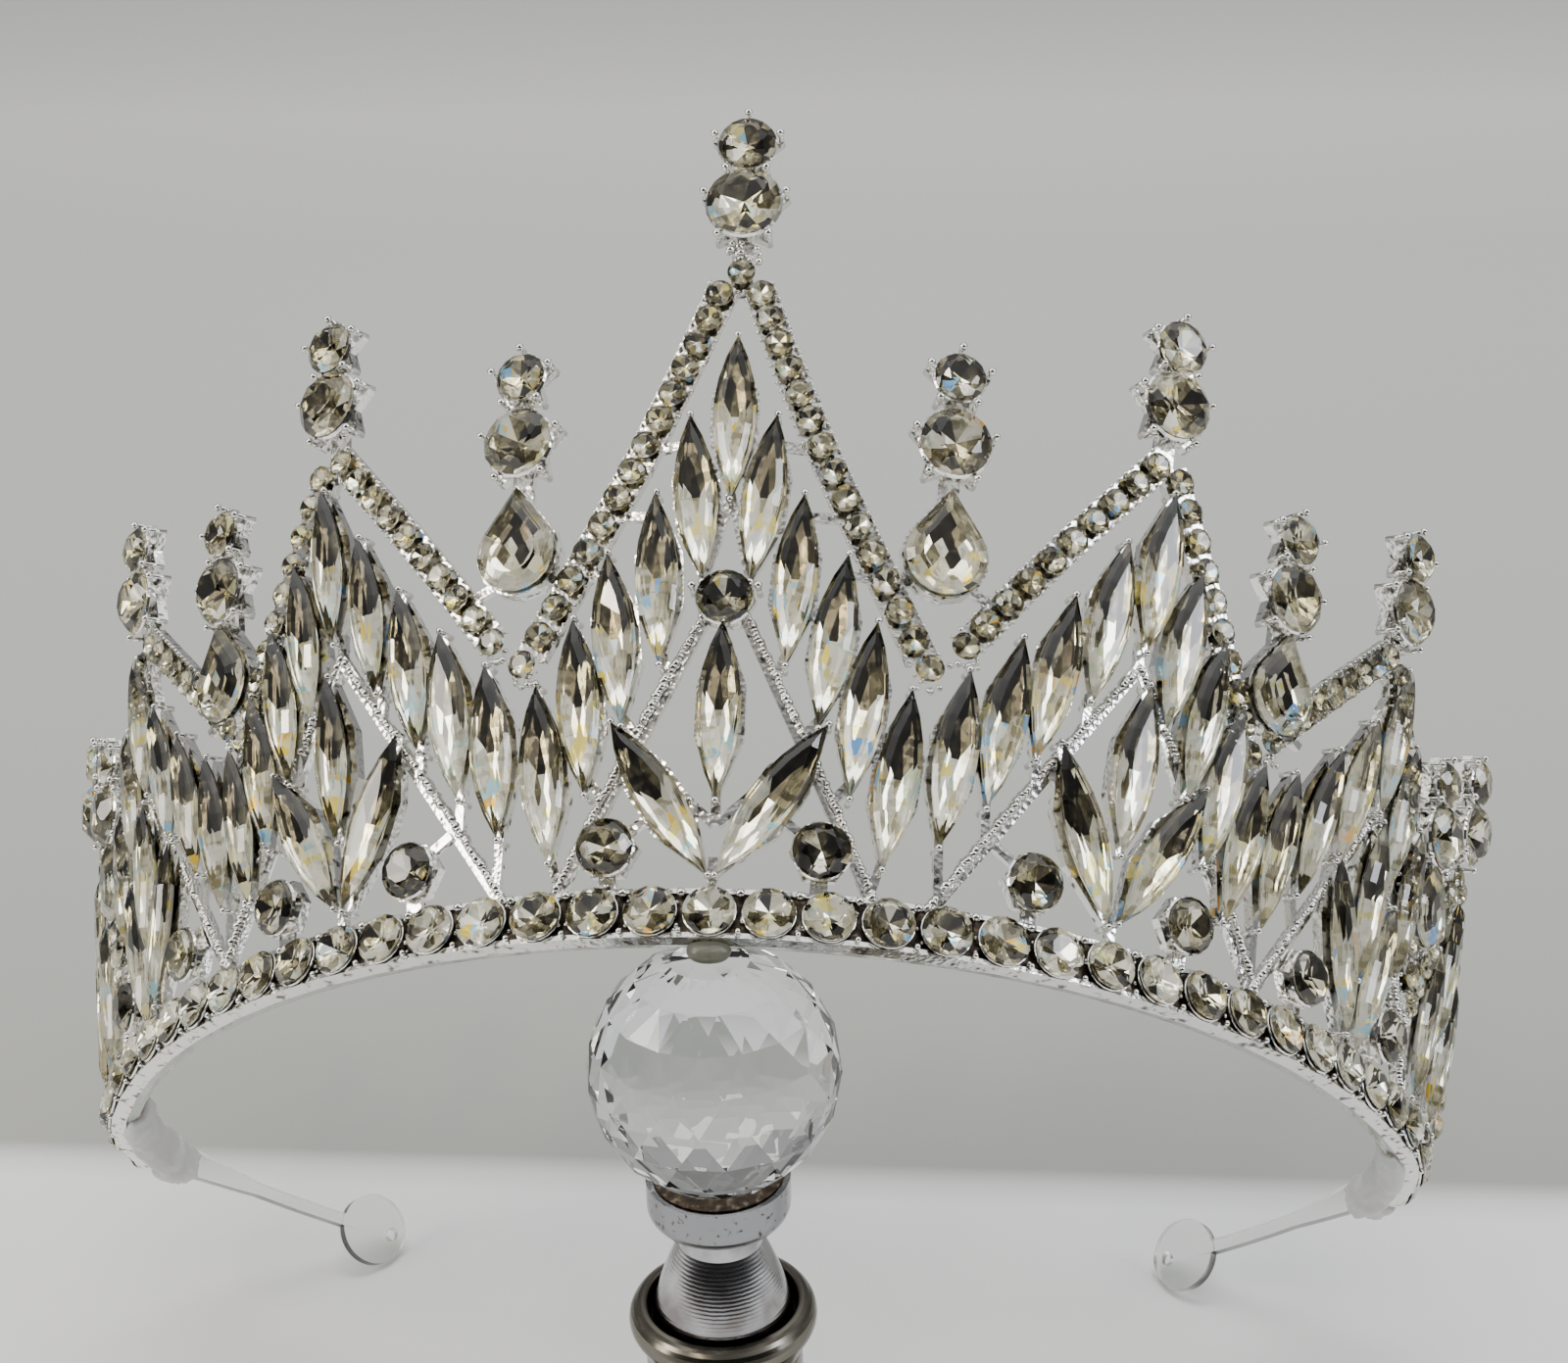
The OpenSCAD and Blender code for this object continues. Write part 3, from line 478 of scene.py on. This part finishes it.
bpy.ops.mesh.primitive_torus_add(major_segments=20, minor_segments=6, major_radius=CUP_R,
                                 minor_radius=0.13, location=(0, 0, CUP_OUT))
cup = bpy.context.object
bpy.ops.object.transform_apply()
bpy.ops.object.shade_smooth()
cup.data.materials.append(plating)
laid("band_cups", [cup], [band(s, ROW_H) for s in band_places])
away(shade_sheet, cup)

grains = []
for s in band_places[:-1]:
    for h, size in ((-1.7, 0.6), (1.9, 0.9)):
        grains.append(band(s + PITCH / 2, h, (0, 0, CUP_OUT), size))
    for k in range(3):
        grains.append(band(s + PITCH / 2 + random.uniform(-0.5, 0.5), random.uniform(-1.9, 2.0),
                           (0, 0, random.uniform(0.1, 0.5)), random.uniform(0.35, 0.65)))
laid("band_grains", [bead], grains)


# The ribbon
# A strip with beaded rails, soldered up and down along the seven peaks, which carries the small
# smoky stones.

# Each leg of the right half: top stone's place and height, bottom stone's place and height, bow,
# and number of stones
LEGS = [
    [1.6, 59.1, 16.8, 23.5, 1.2, 15],
    [34.5, 48.4, 19.6, 26.1, 0, 10],
    [36.8, 47.6, 46.9, 24, 0, 10],
    [62.8, 42, 49, 26.2, 0, 9],
    [65, 41, 76, 11, 0, 12],
    [83.8, 28.8, 77, 13.4, 0, 7],
    [85.6, 28.2, 91.8, 4.8, 0, 10],
]


def on_leg(leg, t):
    """Place and height at a share t of the way down a leg"""
    top_s, top_h, low_s, low_h, bow, _ = leg
    return top_s + (low_s - top_s) * t - bow * 4 * t * (1 - t), top_h + (low_h - top_h) * t


def leg_turn(leg, t):
    """How far the leg turns clockwise from upright there"""
    (s0, h0), (s1, h1) = on_leg(leg, t + 0.01), on_leg(leg, t - 0.01)
    spread = 1 + (h0 + h1) / 2 * math.sin(math.radians(LEAN)) / BAND_R
    return math.degrees(math.atan2((s1 - s0) * spread, h1 - h0))


RAIL_X, RIBBON_STONE_MM, TOP_STONE_H = 1.42, 2.62, 61.3
ribbon_beads, ribbon_stones_outer = [], []
ribbon_stones_centre = [crown(0, TOP_STONE_H, 0, OFF_SEAT)]
for number, leg in enumerate(LEGS):
    count = leg[5]
    for i in range(count):
        t = i / (count - 1)
        for side in (1, -1):
            s, h = on_leg(leg, t)
            place = crown(side * s, h, side * leg_turn(leg, t), OFF_SEAT)
            (ribbon_stones_centre if number == 0 else ribbon_stones_outer).append(place)
    for i in range(count * 3 - 1):
        t = (i - 1) / (count * 3 - 3)
        s, h = on_leg(leg, t)
        for side in (1, -1):
            turn = side * leg_turn(leg, t)
            for x in (-RAIL_X, RAIL_X):
                ribbon_beads.append(
                    crown(side * s, h, turn, (x, 0, 0.1), random.uniform(0.34, 0.55)))
laid("ribbon_rails", [bead], ribbon_beads)


# Claws, cups and rims
# Each round stone sits in a cup with claws that end in small balls. Each pear has a thin rim, and
# each marquise is held by a claw at either tip.

# Place, height of the apex, then size and height of the large stone and of the small one
PEAKS = [
    [0, 61.3, 7, 68.3, 5.4, 74.8],
    [35.3, 50.2, 6.8, 54.8, 5.2, 61.2],
    [64.2, 43.6, 6.6, 47.8, 5.1, 54],
    [84.5, 30.4, 6.4, 34.5, 5, 40.6],
]
bpy.ops.mesh.primitive_cone_add(vertices=20, radius1=0.2, radius2=0.5, depth=0.28,
                                end_fill_type="NOTHING", location=(0, 0, 0.05))
basket = bpy.context.object
bpy.ops.object.transform_apply()
wall = basket.modifiers.new("wall", "SOLIDIFY")
wall.thickness = 0.045
wall.offset = 1
bpy.ops.object.modifier_apply(modifier="wall")
basket.data.materials.append(plating)

CLAW_BALL_R, CLAW_TOP = 0.4, 1.35
bpy.ops.mesh.primitive_uv_sphere_add(segments=10, ring_count=7, radius=CLAW_BALL_R,
                                     location=(0, 0, CLAW_TOP))
claw = bpy.context.object
bpy.ops.object.transform_apply()
bpy.ops.object.mode_set(mode="EDIT")
bpy.ops.mesh.primitive_cone_add(vertices=8, radius1=0.34, radius2=0.2, depth=2.2,
                                location=(0, 0, 0.15))
bpy.ops.object.mode_set(mode="OBJECT")
bpy.ops.object.shade_smooth()
claw.data.materials.append(rubbed)

# Place, heights of the small stone, the large stone and the pear, and the pear's scale
DROPS = [
    [17.3, 52, 45.2, 35.5, 1],
    [49, 47, 40.7, 31.9, 1],
    [75.8, 35, 29.2, 21.7, 0.86],
]
DROP_SMALL_MM, DROP_LARGE_MM, POST_STONE_MM, POST_H, ARROW_STONE_H = 4.8, 6.6, 5, 5.9, 28.6
# Angles of the claws round a small stone and round a large one
FIVE, FOUR = (18, 90, 162, 234, 306), (18, 162, 234, 306)
# Places of the posts in the right half
POSTS = [9, 27.2, 42.3, 57, 71.6]
both = (1, -1)
# Place, height and size of each round stone
large = [(side * p[0], p[3], p[2]) for p in PEAKS for side in (both if p[0] else (1,))]
small = [(side * p[0], p[5], p[4]) for p in PEAKS for side in (both if p[0] else (1,))]
drop_large = [(side * d[0], d[2], DROP_LARGE_MM) for d in DROPS for side in both]
drop_small = [(side * d[0], d[1], DROP_SMALL_MM) for d in DROPS for side in both]
posts = [(side * s, POST_H, POST_STONE_MM) for s in POSTS for side in both]
arrow_stone = (0, ARROW_STONE_H, POST_STONE_MM)
CLAW_OUT = 0.6


def claws_round(rounds, angles):
    """Places of the claws round each stone, at these angles"""
    return [crown(s, h, 0, ((d / 2 + CLAW_OUT) * math.cos(math.radians(a)),
                            (d / 2 + CLAW_OUT) * math.sin(math.radians(a)), 0))
            for s, h, d in rounds for a in angles]


laid("stone_claws", [claw], claws_round(large + drop_large, FOUR)
     + claws_round(small + drop_small, FIVE) + claws_round([arrow_stone], (18, 162)))
laid("stone_cups", [basket], [crown(s, h, 0, OFF_SEAT, d) for s, h, d in
                              large + small + drop_large + drop_small + posts + [arrow_stone]])
away(basket)

MARQUISE_W, MARQUISE_L = 3.9, 16
# Place, height and turn of the marquises of the right half
CENTRE = [[2.7, 38.4, 6], [5.5, 30.7, 3], [8.9, 25.1, 6], [11.7, 19, 5], [14.8, 13.1, 5]]
SIDE = [
    [19.4, 15.7, 5], [23.4, 19.8, 7], [27.4, 25, 8], [31.6, 31.6, 7], [35.8, 37.9, 4],
    [38.7, 31.1, 7], [41.6, 25.4, 8], [44.4, 19.8, 8], [47.3, 15.5, 9], [51.3, 16.2, 8],
    [55.9, 21, 12], [60.6, 26.4, 12], [65.2, 34, 6], [68.2, 27.2, 7], [71.4, 19.6, 5],
    [80.4, 11.2, 5], [84.2, 18.4, 3], [86.8, 11, 5],
]
# Place of each arrow, height of its top and half its spread. Then the fans of marquises in them:
# number of the arrow, place from its middle, height and turn.
ARROWS = [[0, 31, 13.8], [35.2, 28.4, 16.8], [65.2, 26, 14.5]]
FANS = [[0, 0, 18.3, 0], [0, 4.7, 10.3, 33], [1, 0.2, 18.4, 4], [1, 3.8, 11.4, 27],
        [1, -3.9, 11.3, -22], [2, -0.2, 17, 2], [2, 2.3, 9.95, 13], [2, -3.7, 11, -18]]
centre_rows = [[0, 46.4, 0]] + [[side * s, h, side * t] for s, h, t in CENTRE for side in both]
right_rows = SIDE
left_rows = [[-s, h, -t] for s, h, t in SIDE]
fan_rows = []
for arrow, x, h, t in FANS:
    s = ARROWS[arrow][0] + x
    fan_rows += [[side * s, h, side * t] for side in (both if s else (1,))]
all_rows = centre_rows + right_rows + left_rows + fan_rows
TIP_CLAW = MARQUISE_L / 2 + 0.3
laid("marquise_claws", [claw], [crown(*row, (0, y, -0.5), 0.9)
                                for row in all_rows for y in (TIP_CLAW, -TIP_CLAW)])

PEAR_W, PEAR_L, PEAR_DEPTH = 7.5, 10.2, 2.4
RIM_LOW, RIM_HIGH, RIM_T, RIM_GAP = -0.3, 0.7, 0.2, 0.05


def cut(normal, reach, fill_cut=True):
    """Takes off all that lies past a plane, and closes the cut with a facet or leaves it open"""
    way = Vector(normal).normalized()
    bpy.ops.mesh.select_all(action="SELECT")
    bpy.ops.mesh.bisect(plane_co=way * reach, plane_no=way, use_fill=fill_cut, clear_outer=True)


def pear_sides(count):
    """Direction and reach of the flats round a pear, which has its point up"""
    r = PEAR_W / 2
    low, tangent = r - PEAR_L / 2, math.asin(r / (PEAR_L - r))
    rounds = [tangent - (math.pi + 2 * tangent) * i / (count - 2) for i in range(count - 1)]
    points = [Vector((0, PEAR_L / 2, 0))]
    points += [Vector((r * math.cos(a), low + r * math.sin(a), 0)) for a in rounds]
    for a, b in zip(points, points[1:] + points[:1]):
        flat = Vector((a.y - b.y, b.x - a.x, 0)).normalized()
        yield flat, flat.dot(a)


bpy.ops.mesh.primitive_cube_add(size=1, location=(0, 0, 0.2), scale=(12, 14, 1.1))
rim = bpy.context.object
bpy.ops.object.transform_apply()
bpy.ops.object.mode_set(mode="EDIT")
for flat, reach in pear_sides(20):
    cut(flat, reach + RIM_GAP)
cut((0, 0, 1), RIM_HIGH, fill_cut=False)
cut((0, 0, -1), -RIM_LOW, fill_cut=False)
bpy.ops.object.mode_set(mode="OBJECT")
wall = rim.modifiers.new("wall", "SOLIDIFY")
wall.thickness = RIM_T
wall.offset = 1
bpy.ops.object.modifier_apply(modifier="wall")
rim.data.materials.append(plating)
# The pears and their rims
pear_places = [crown(side * d[0], d[3], 0, OFF_SEAT, d[4]) for d in DROPS for side in both]
laid("pear_rims", [rim], pear_places)
away(rim)


# The arrows
# Two rough-cast bars stand on the band and meet at a point, with the round stone on it in the
# middle arrow. Grains of solder fill the joints below each peak and each pear.

bpy.ops.mesh.primitive_uv_sphere_add(segments=8, ring_count=5, radius=0.5,
                                     scale=(1.0, 1.2, 1.3))
strand = bpy.context.object
bpy.ops.object.transform_apply()
bpy.ops.object.shade_smooth()
strand.data.materials.append(rubbed)
strands, STRAND_STEP, BAR_FOOT_H = [], 0.4, 2.2
for s0, top, half in ARROWS:
    for side in both if s0 else (1,):
        for x in (half, -half):
            steps = int(math.hypot(half * 1.05, top) / STRAND_STEP)
            for i in range(steps):
                t = i / (steps - 1)
                s, h = s0 + x * t, top + (BAR_FOOT_H - top) * t
                spread = 1 + h * math.sin(math.radians(LEAN)) / BAND_R
                turn = math.degrees(math.atan2(-x * spread, top - BAR_FOOT_H))
                strands.append(crown(
                    side * s, h, side * turn + random.uniform(-70, 70),
                    (random.uniform(-0.12, 0.12), 0, random.uniform(-0.6, -0.3)),
                    random.uniform(0.65, 1.0)))
laid("arrow_bars", [strand], strands)
away(strand)

PEAK_GRAINS, FOOT_GRAINS = 16, 8
cluster = []
for s, apex, *_ in PEAKS:
    for side in both if s else (1,):
        for k in range(PEAK_GRAINS):
            cluster.append(crown(side * s + random.uniform(-1.3, 1.3),
                                 apex + 1.3 + random.uniform(-0.2, 2.0), 0,
                                 (0, 0, random.uniform(0, 0.5)), random.uniform(0.5, 0.9)))
for leg in LEGS:
    for side in both:
        for k in range(FOOT_GRAINS):
            cluster.append(crown(side * (leg[2] + random.uniform(-1.2, 1.2)),
                                 leg[3] - 1.2 + random.uniform(-0.9, 0.3), 0,
                                 (0, 0, random.uniform(-0.1, 0.4)), random.uniform(0.45, 0.8)))
laid("joint_grains", [bead], cluster)
away(claw, bead)


# The stones
# Machine-cut lead glass, foiled with silver at the back. A facet that throws back the ceiling is
# bright, one that throws back the front of the room is nearly black, and a few split the light.

# Lead glass, cut and fire-polished: colourless, clear, with hard bright edges between its facets
crystal, _, shader, _ = new_material("lead glass, cut and polished")
fill(shader, {"Base Color": "#FFFEF1", "Transmission Weight": 1.0, "IOR": 1.56, "Roughness": 0.0})


def foil_of(name, tones, mirror, scale=1500.0):
    """Foil whose tone changes from one splinter to the next, as the facets before it break up the
    room. Mirror is the share that it throws back sharply, and scale the splinters in a metre"""
    made, tree, shader, spot = new_material(name)
    splinter = node(tree, "TexVoronoi", {"feature": "F1", "distance": "MANHATTAN"}, {
        "Vector": spot, "Scale": scale})
    pick = node(tree, "SeparateColor", {}, {"Color": splinter.outputs["Color"]})
    colour = node(tree, "ValToRGB", {}, {"Fac": pick.outputs[0]}, tones)
    fill(shader, {"Base Color": colour.outputs["Color"], "Metallic": mirror, "Roughness": 0.06})
    return made


# Silver foil behind glass. It is creamy white where it throws back the ceiling, and from grey to
# nearly black where it throws back the front of the room.
foils = [
    foil_of("silver foil that meets the ceiling", [
        (0.0, "#FFFFFB"), (0.5, "#FBF9F1"), (0.8, "#E6E3D8"), (0.93, "#BFBBAE"), (0.95, "#FFF27A"),
        (1.0, "#A8E6FF")], 0.5),
    foil_of("silver foil that meets the wall", [
        (0.0, "#F0ECDB"), (0.6, "#C9C3AC"), (0.94, "#968F74"), (0.96, "#FFE68A")], 0.65),
    foil_of("silver foil in half shade", [
        (0.0, "#A1997E"), (0.6, "#6F684F"), (1.0, "#4C4633")], 0.8),
    foil_of("silver foil in shade", [
        (0.0, "#474135"), (0.7, "#28241C"), (1.0, "#12100C")], 0.9),
    foil_of("silver foil that meets split light", [
        (0.0, "#FFFFFF"), (0.25, "#FFF3A0"), (0.4, "#FFE23A"), (0.5, "#FFC062"), (0.55, "#FFFFFF"),
        (0.8, "#B4E6FF"), (1.0, "#6FB0FF")], 0.25, 550.0)]
LIGHT, PALE, HALF, SHADE, FIRE = 1, 2, 3, 4, 5


def dress(stone, foil_at):
    """Glass in front, and on each facet that faces back the foil for its place"""
    for material in [crystal] + foils:
        stone.data.materials.append(material)
    for face in stone.data.polygons:
        face.material_index = foil_at(*face.center) if face.normal.z < -0.02 else 0
    return stone


ROUND_H = 0.42
# Number of facets in a ring, their offset in steps, their tilt, a point that they pass through, as
# its radius and height, and 1 in front or -1 behind
ROUND_FACETS = [
    (8, 0, 42, 0.5, 0.225, 1), (16, 0.5, 52, 0.5, 0.215, 1), (8, 0.5, 24, 0.25, ROUND_H, 1),
    (8, 0, 20, 0, 0, -1), (16, 0.5, 26, 0.5, 0.2, -1)]


def round_cut(mix):
    """A round stone 1 mm across: table, star, main and half facets in front, and main and half
    facets that meet in a point behind. Mix holds the foils that its back facets are drawn from"""
    bpy.ops.mesh.primitive_cylinder_add(vertices=32, radius=0.5, depth=ROUND_H,
                                        location=(0, 0, ROUND_H / 2))
    stone = bpy.context.object
    bpy.ops.object.transform_apply()
    bpy.ops.object.mode_set(mode="EDIT")
    for count, offset, tilt, r, z, way in ROUND_FACETS:
        for i in range(count):
            a, b = math.radians(360 * (i + offset) / count), math.radians(tilt)
            normal = Vector((
                math.sin(b) * math.cos(a), math.sin(b) * math.sin(a), way * math.cos(b)))
            cut(normal, normal.dot(Vector((r * math.cos(a), r * math.sin(a), z))))
    bpy.ops.object.mode_set(mode="OBJECT")
    return dress(stone, lambda x, y, z: random.choice(mix))


bright_mix = [LIGHT] * 7 + [PALE] * 4 + [HALF] * 3 + [SHADE] * 3 + [FIRE]
dark_mix = [LIGHT, PALE] + [HALF] * 6 + [SHADE] * 6
mild_mix = [LIGHT] * 2 + [PALE] * 4 + [HALF] * 6 + [SHADE] * 4 + [FIRE]
smoky_mix = [LIGHT, FIRE] + [PALE] * 6 + [HALF] * 8 + [SHADE] * 4
bright_rounds = [round_cut(bright_mix) for k in range(4)]
dark_rounds = [round_cut(dark_mix) for k in range(3)]
mild_rounds = [round_cut(mild_mix) for k in range(5)]


def stones(name, models, places, *replaced):
    """One piece of cut stones, which stands for the CAD nodes that are named"""
    made = laid(name, models, places)
    if replaced:
        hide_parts(*replaced)


def turned_stone(place):
    """Each round stone is set by hand, at a turn of its own and a little out of true"""
    return place @ turned(random.uniform(-3, 3), "X") @ turned(random.uniform(0, 360), "Z")


stones("cut_band_stones", bright_rounds + mild_rounds[:2], [
    turned_stone(band(s, ROW_H, OFF_SEAT, BAND_STONE_MM)) for s in band_places], "band_stones")
stones("cut_post_stones", dark_rounds,
       [turned_stone(crown(s, h, 0, OFF_SEAT, d)) for s, h, d in posts], "post_stones")
stones("cut_arrow_stone", dark_rounds,
       [turned_stone(crown(s, h, 0, OFF_SEAT, d)) for s, h, d in [arrow_stone]], "arrow_stone")
for kind, pairs in (("finial", zip(large, small)), ("drop", zip(drop_large, drop_small))):
    for number, (s, h, d) in enumerate([stone for pair in pairs for stone in pair], 1):
        stones(f"cut_{kind}_stone_{number}", [mild_rounds[number % len(mild_rounds)]],
               [turned_stone(crown(s, h, 0, OFF_SEAT, d))], f"{kind}_stone_{number}")
small_size = Matrix.Scale(RIBBON_STONE_MM, 4)
smoky_rounds = [round_cut(smoky_mix) for k in range(4)]
stones("cut_zigzag_stones", smoky_rounds,
       [turned_stone(place @ small_size) for place in ribbon_stones_centre], "zigzag_stones")
stones("cut_outer_ribbon_stones", smoky_rounds,
       [turned_stone(place @ small_size) for place in ribbon_stones_outer])
away(*bright_rounds, *dark_rounds, *mild_rounds, *smoky_rounds)


def edge_facets(flat, reach, rows):
    """The flat at the edge of a stone, then the facets over and under it. Rows hold the tilt of
    each, its height at the edge, and 1 in front or -1 behind"""
    cut(flat, reach)
    for tilt, z, way in rows:
        a = math.radians(tilt)
        normal = flat * math.sin(a) + Vector((0, 0, way * math.cos(a)))
        cut(normal, reach * math.sin(a) + way * z * math.cos(a))


def back_facets(rows, bulge, girdle, flattest):
    """The facets behind a stone: planes that touch an ellipsoid, its middle at the girdle's height,
    at the places in the rows, given as shares of the ellipsoid's width and length"""
    for y, across in rows:
        for x in across:
            z = -math.sqrt(max(1 - x * x - y * y, flattest))
            normal = Vector((x / bulge.x, y / bulge.y, z / bulge.z)).normalized()
            reach = math.sqrt(sum((bulge[i] * normal[i]) ** 2 for i in range(3)))
            cut(normal, reach + normal.z * girdle)


MARQUISE_H, MARQUISE_GIRDLE, SIDE_FLATS = 1.7, 0.8, 7
ARC_R = (MARQUISE_L ** 2 + MARQUISE_W ** 2) / 4 / MARQUISE_W
HALF_ARC = math.degrees(math.asin(MARQUISE_L / 2 / ARC_R))
marquise_bulge = Vector((MARQUISE_W / 2 * 1.06, MARQUISE_L / 2 * 1.1, MARQUISE_GIRDLE))


def marquise_foil(x, y, z):
    """A long dark heart in the upper half between grey sides, and bright splinters below it"""
    if z > 0.5:
        return random.choice((LIGHT, PALE, PALE, HALF))
    if y > 0.9:
        return random.choice((SHADE, SHADE, SHADE, HALF) if abs(x) < 0.7 else (HALF, HALF, PALE))
    return random.choice([FIRE] * 2 + [HALF] + [PALE] * 3 + [LIGHT] * 8)


def washed_foil(x, y, z):
    """Towards the ends of the band the stones throw back more of the wall, with a greyer heart"""
    if y > 0.9 and z <= 0.5:
        return random.choice((SHADE, HALF, PALE) if abs(x) < 0.7 else (HALF, PALE, LIGHT))
    return random.choice([FIRE] + [PALE] * 2 + [LIGHT] * 8)


def marquise_cut(foil_at):
    """A marquise: flats along its two curved sides with facets over and under them, and splinters
    behind"""
    bpy.ops.mesh.primitive_cube_add(size=1, location=(0, 0, MARQUISE_H / 2),
                                    scale=(MARQUISE_W, MARQUISE_L * 1.02, MARQUISE_H))
    stone = bpy.context.object
    bpy.ops.object.transform_apply()
    bpy.ops.object.mode_set(mode="EDIT")
    for side in (0, 180):
        for k in range(SIDE_FLATS):
            a = math.radians(side - HALF_ARC + (k + 0.5) * 2 * HALF_ARC / SIDE_FLATS)
            reach = ARC_R - (ARC_R - MARQUISE_W / 2) * abs(math.cos(a))
            edge_facets(Vector((math.cos(a), math.sin(a), 0)), reach,
                        ((46, 0.95, 1), (31, 1.12, 1), (40, 0.72, -1)))
    rows = [(0.6, (-0.66, -0.36, 0, 0.36, 0.66)), (0.2, (-0.75, -0.3, 0.3, 0.75))]
    rows += [(-0.04 - 0.145 * k, (-0.6, -0.2, 0.2, 0.6) if k % 2 else (-0.78, -0.4, 0, 0.4, 0.78))
             for k in range(7)]
    back_facets(rows, marquise_bulge, MARQUISE_GIRDLE, 0.02)
    bpy.ops.object.mode_set(mode="OBJECT")
    return dress(stone, foil_at)


marquises = [marquise_cut(marquise_foil) for k in range(5)]
washed = [marquise_cut(washed_foil) for k in range(3)]
WASHED_FROM = 58
for name, rows, replaced in (("cut_marquises_centre", centre_rows, "marquises_centre"),
                             ("cut_marquises_left", left_rows, "marquises_left"),
                             ("cut_marquises_right", right_rows, "marquises_right"),
                             ("cut_arrow_marquises", fan_rows, "arrow_marquises")):
    models = [random.choice(washed if abs(row[0]) > WASHED_FROM else marquises) for row in rows]
    stones(name, models, [
        crown(*row, OFF_SEAT) @ turned(random.uniform(-5, 5), "Y") for row in rows], replaced)
away(*marquises, *washed)


def pear_foil(x, y, z):
    """A dark lozenge above the middle, grey round it, and bright splinters below it"""
    if abs(x) / 1.5 + abs(y - 0.9) / 1.9 < 1:
        return SHADE
    if y > 0.2:
        return random.choice((HALF, PALE, PALE, LIGHT, LIGHT))
    return random.choice([LIGHT] * 6 + [PALE] * 5 + [HALF] * 3 + [SHADE, FIRE])


PEAR_GIRDLE = 1.15
bpy.ops.mesh.primitive_cube_add(size=1, location=(0, 0, PEAR_DEPTH / 2),
                                scale=(PEAR_W, PEAR_L * 1.02, PEAR_DEPTH))
pear = bpy.context.object
bpy.ops.object.transform_apply()
bpy.ops.object.mode_set(mode="EDIT")
for flat, reach in pear_sides(16):
    edge_facets(flat, reach, ((44, 1.35, 1), (30, 1.6, 1), (38, 1.1, -1)))
back_facets((
    (0.62, (-0.3, 0.3)), (0.34, (-0.5, 0, 0.5)), (0.12, (-0.75, -0.25, 0.25, 0.75)),
    (-0.08, (-0.85, -0.5, -0.1, 0.4, 0.8)), (-0.25, (-0.7, -0.3, 0.15, 0.6)),
    (-0.42, (-0.75, -0.45, -0.1, 0.35, 0.75)), (-0.58, (-0.6, -0.2, 0.2, 0.6)),
    (-0.74, (-0.45, 0, 0.45)), (-0.88, (-0.2, 0.2))),
    Vector((PEAR_W / 2 * 1.1, PEAR_L / 2 * 1.15, PEAR_GIRDLE)), PEAR_GIRDLE, 0.05)
bpy.ops.object.mode_set(mode="OBJECT")
dress(pear, pear_foil)
for number, place in enumerate(pear_places, 1):
    stones(f"cut_pear_stone_{number}", [pear], [place], f"pear_stone_{number}")
away(pear)

bpy.context.view_layer.update()
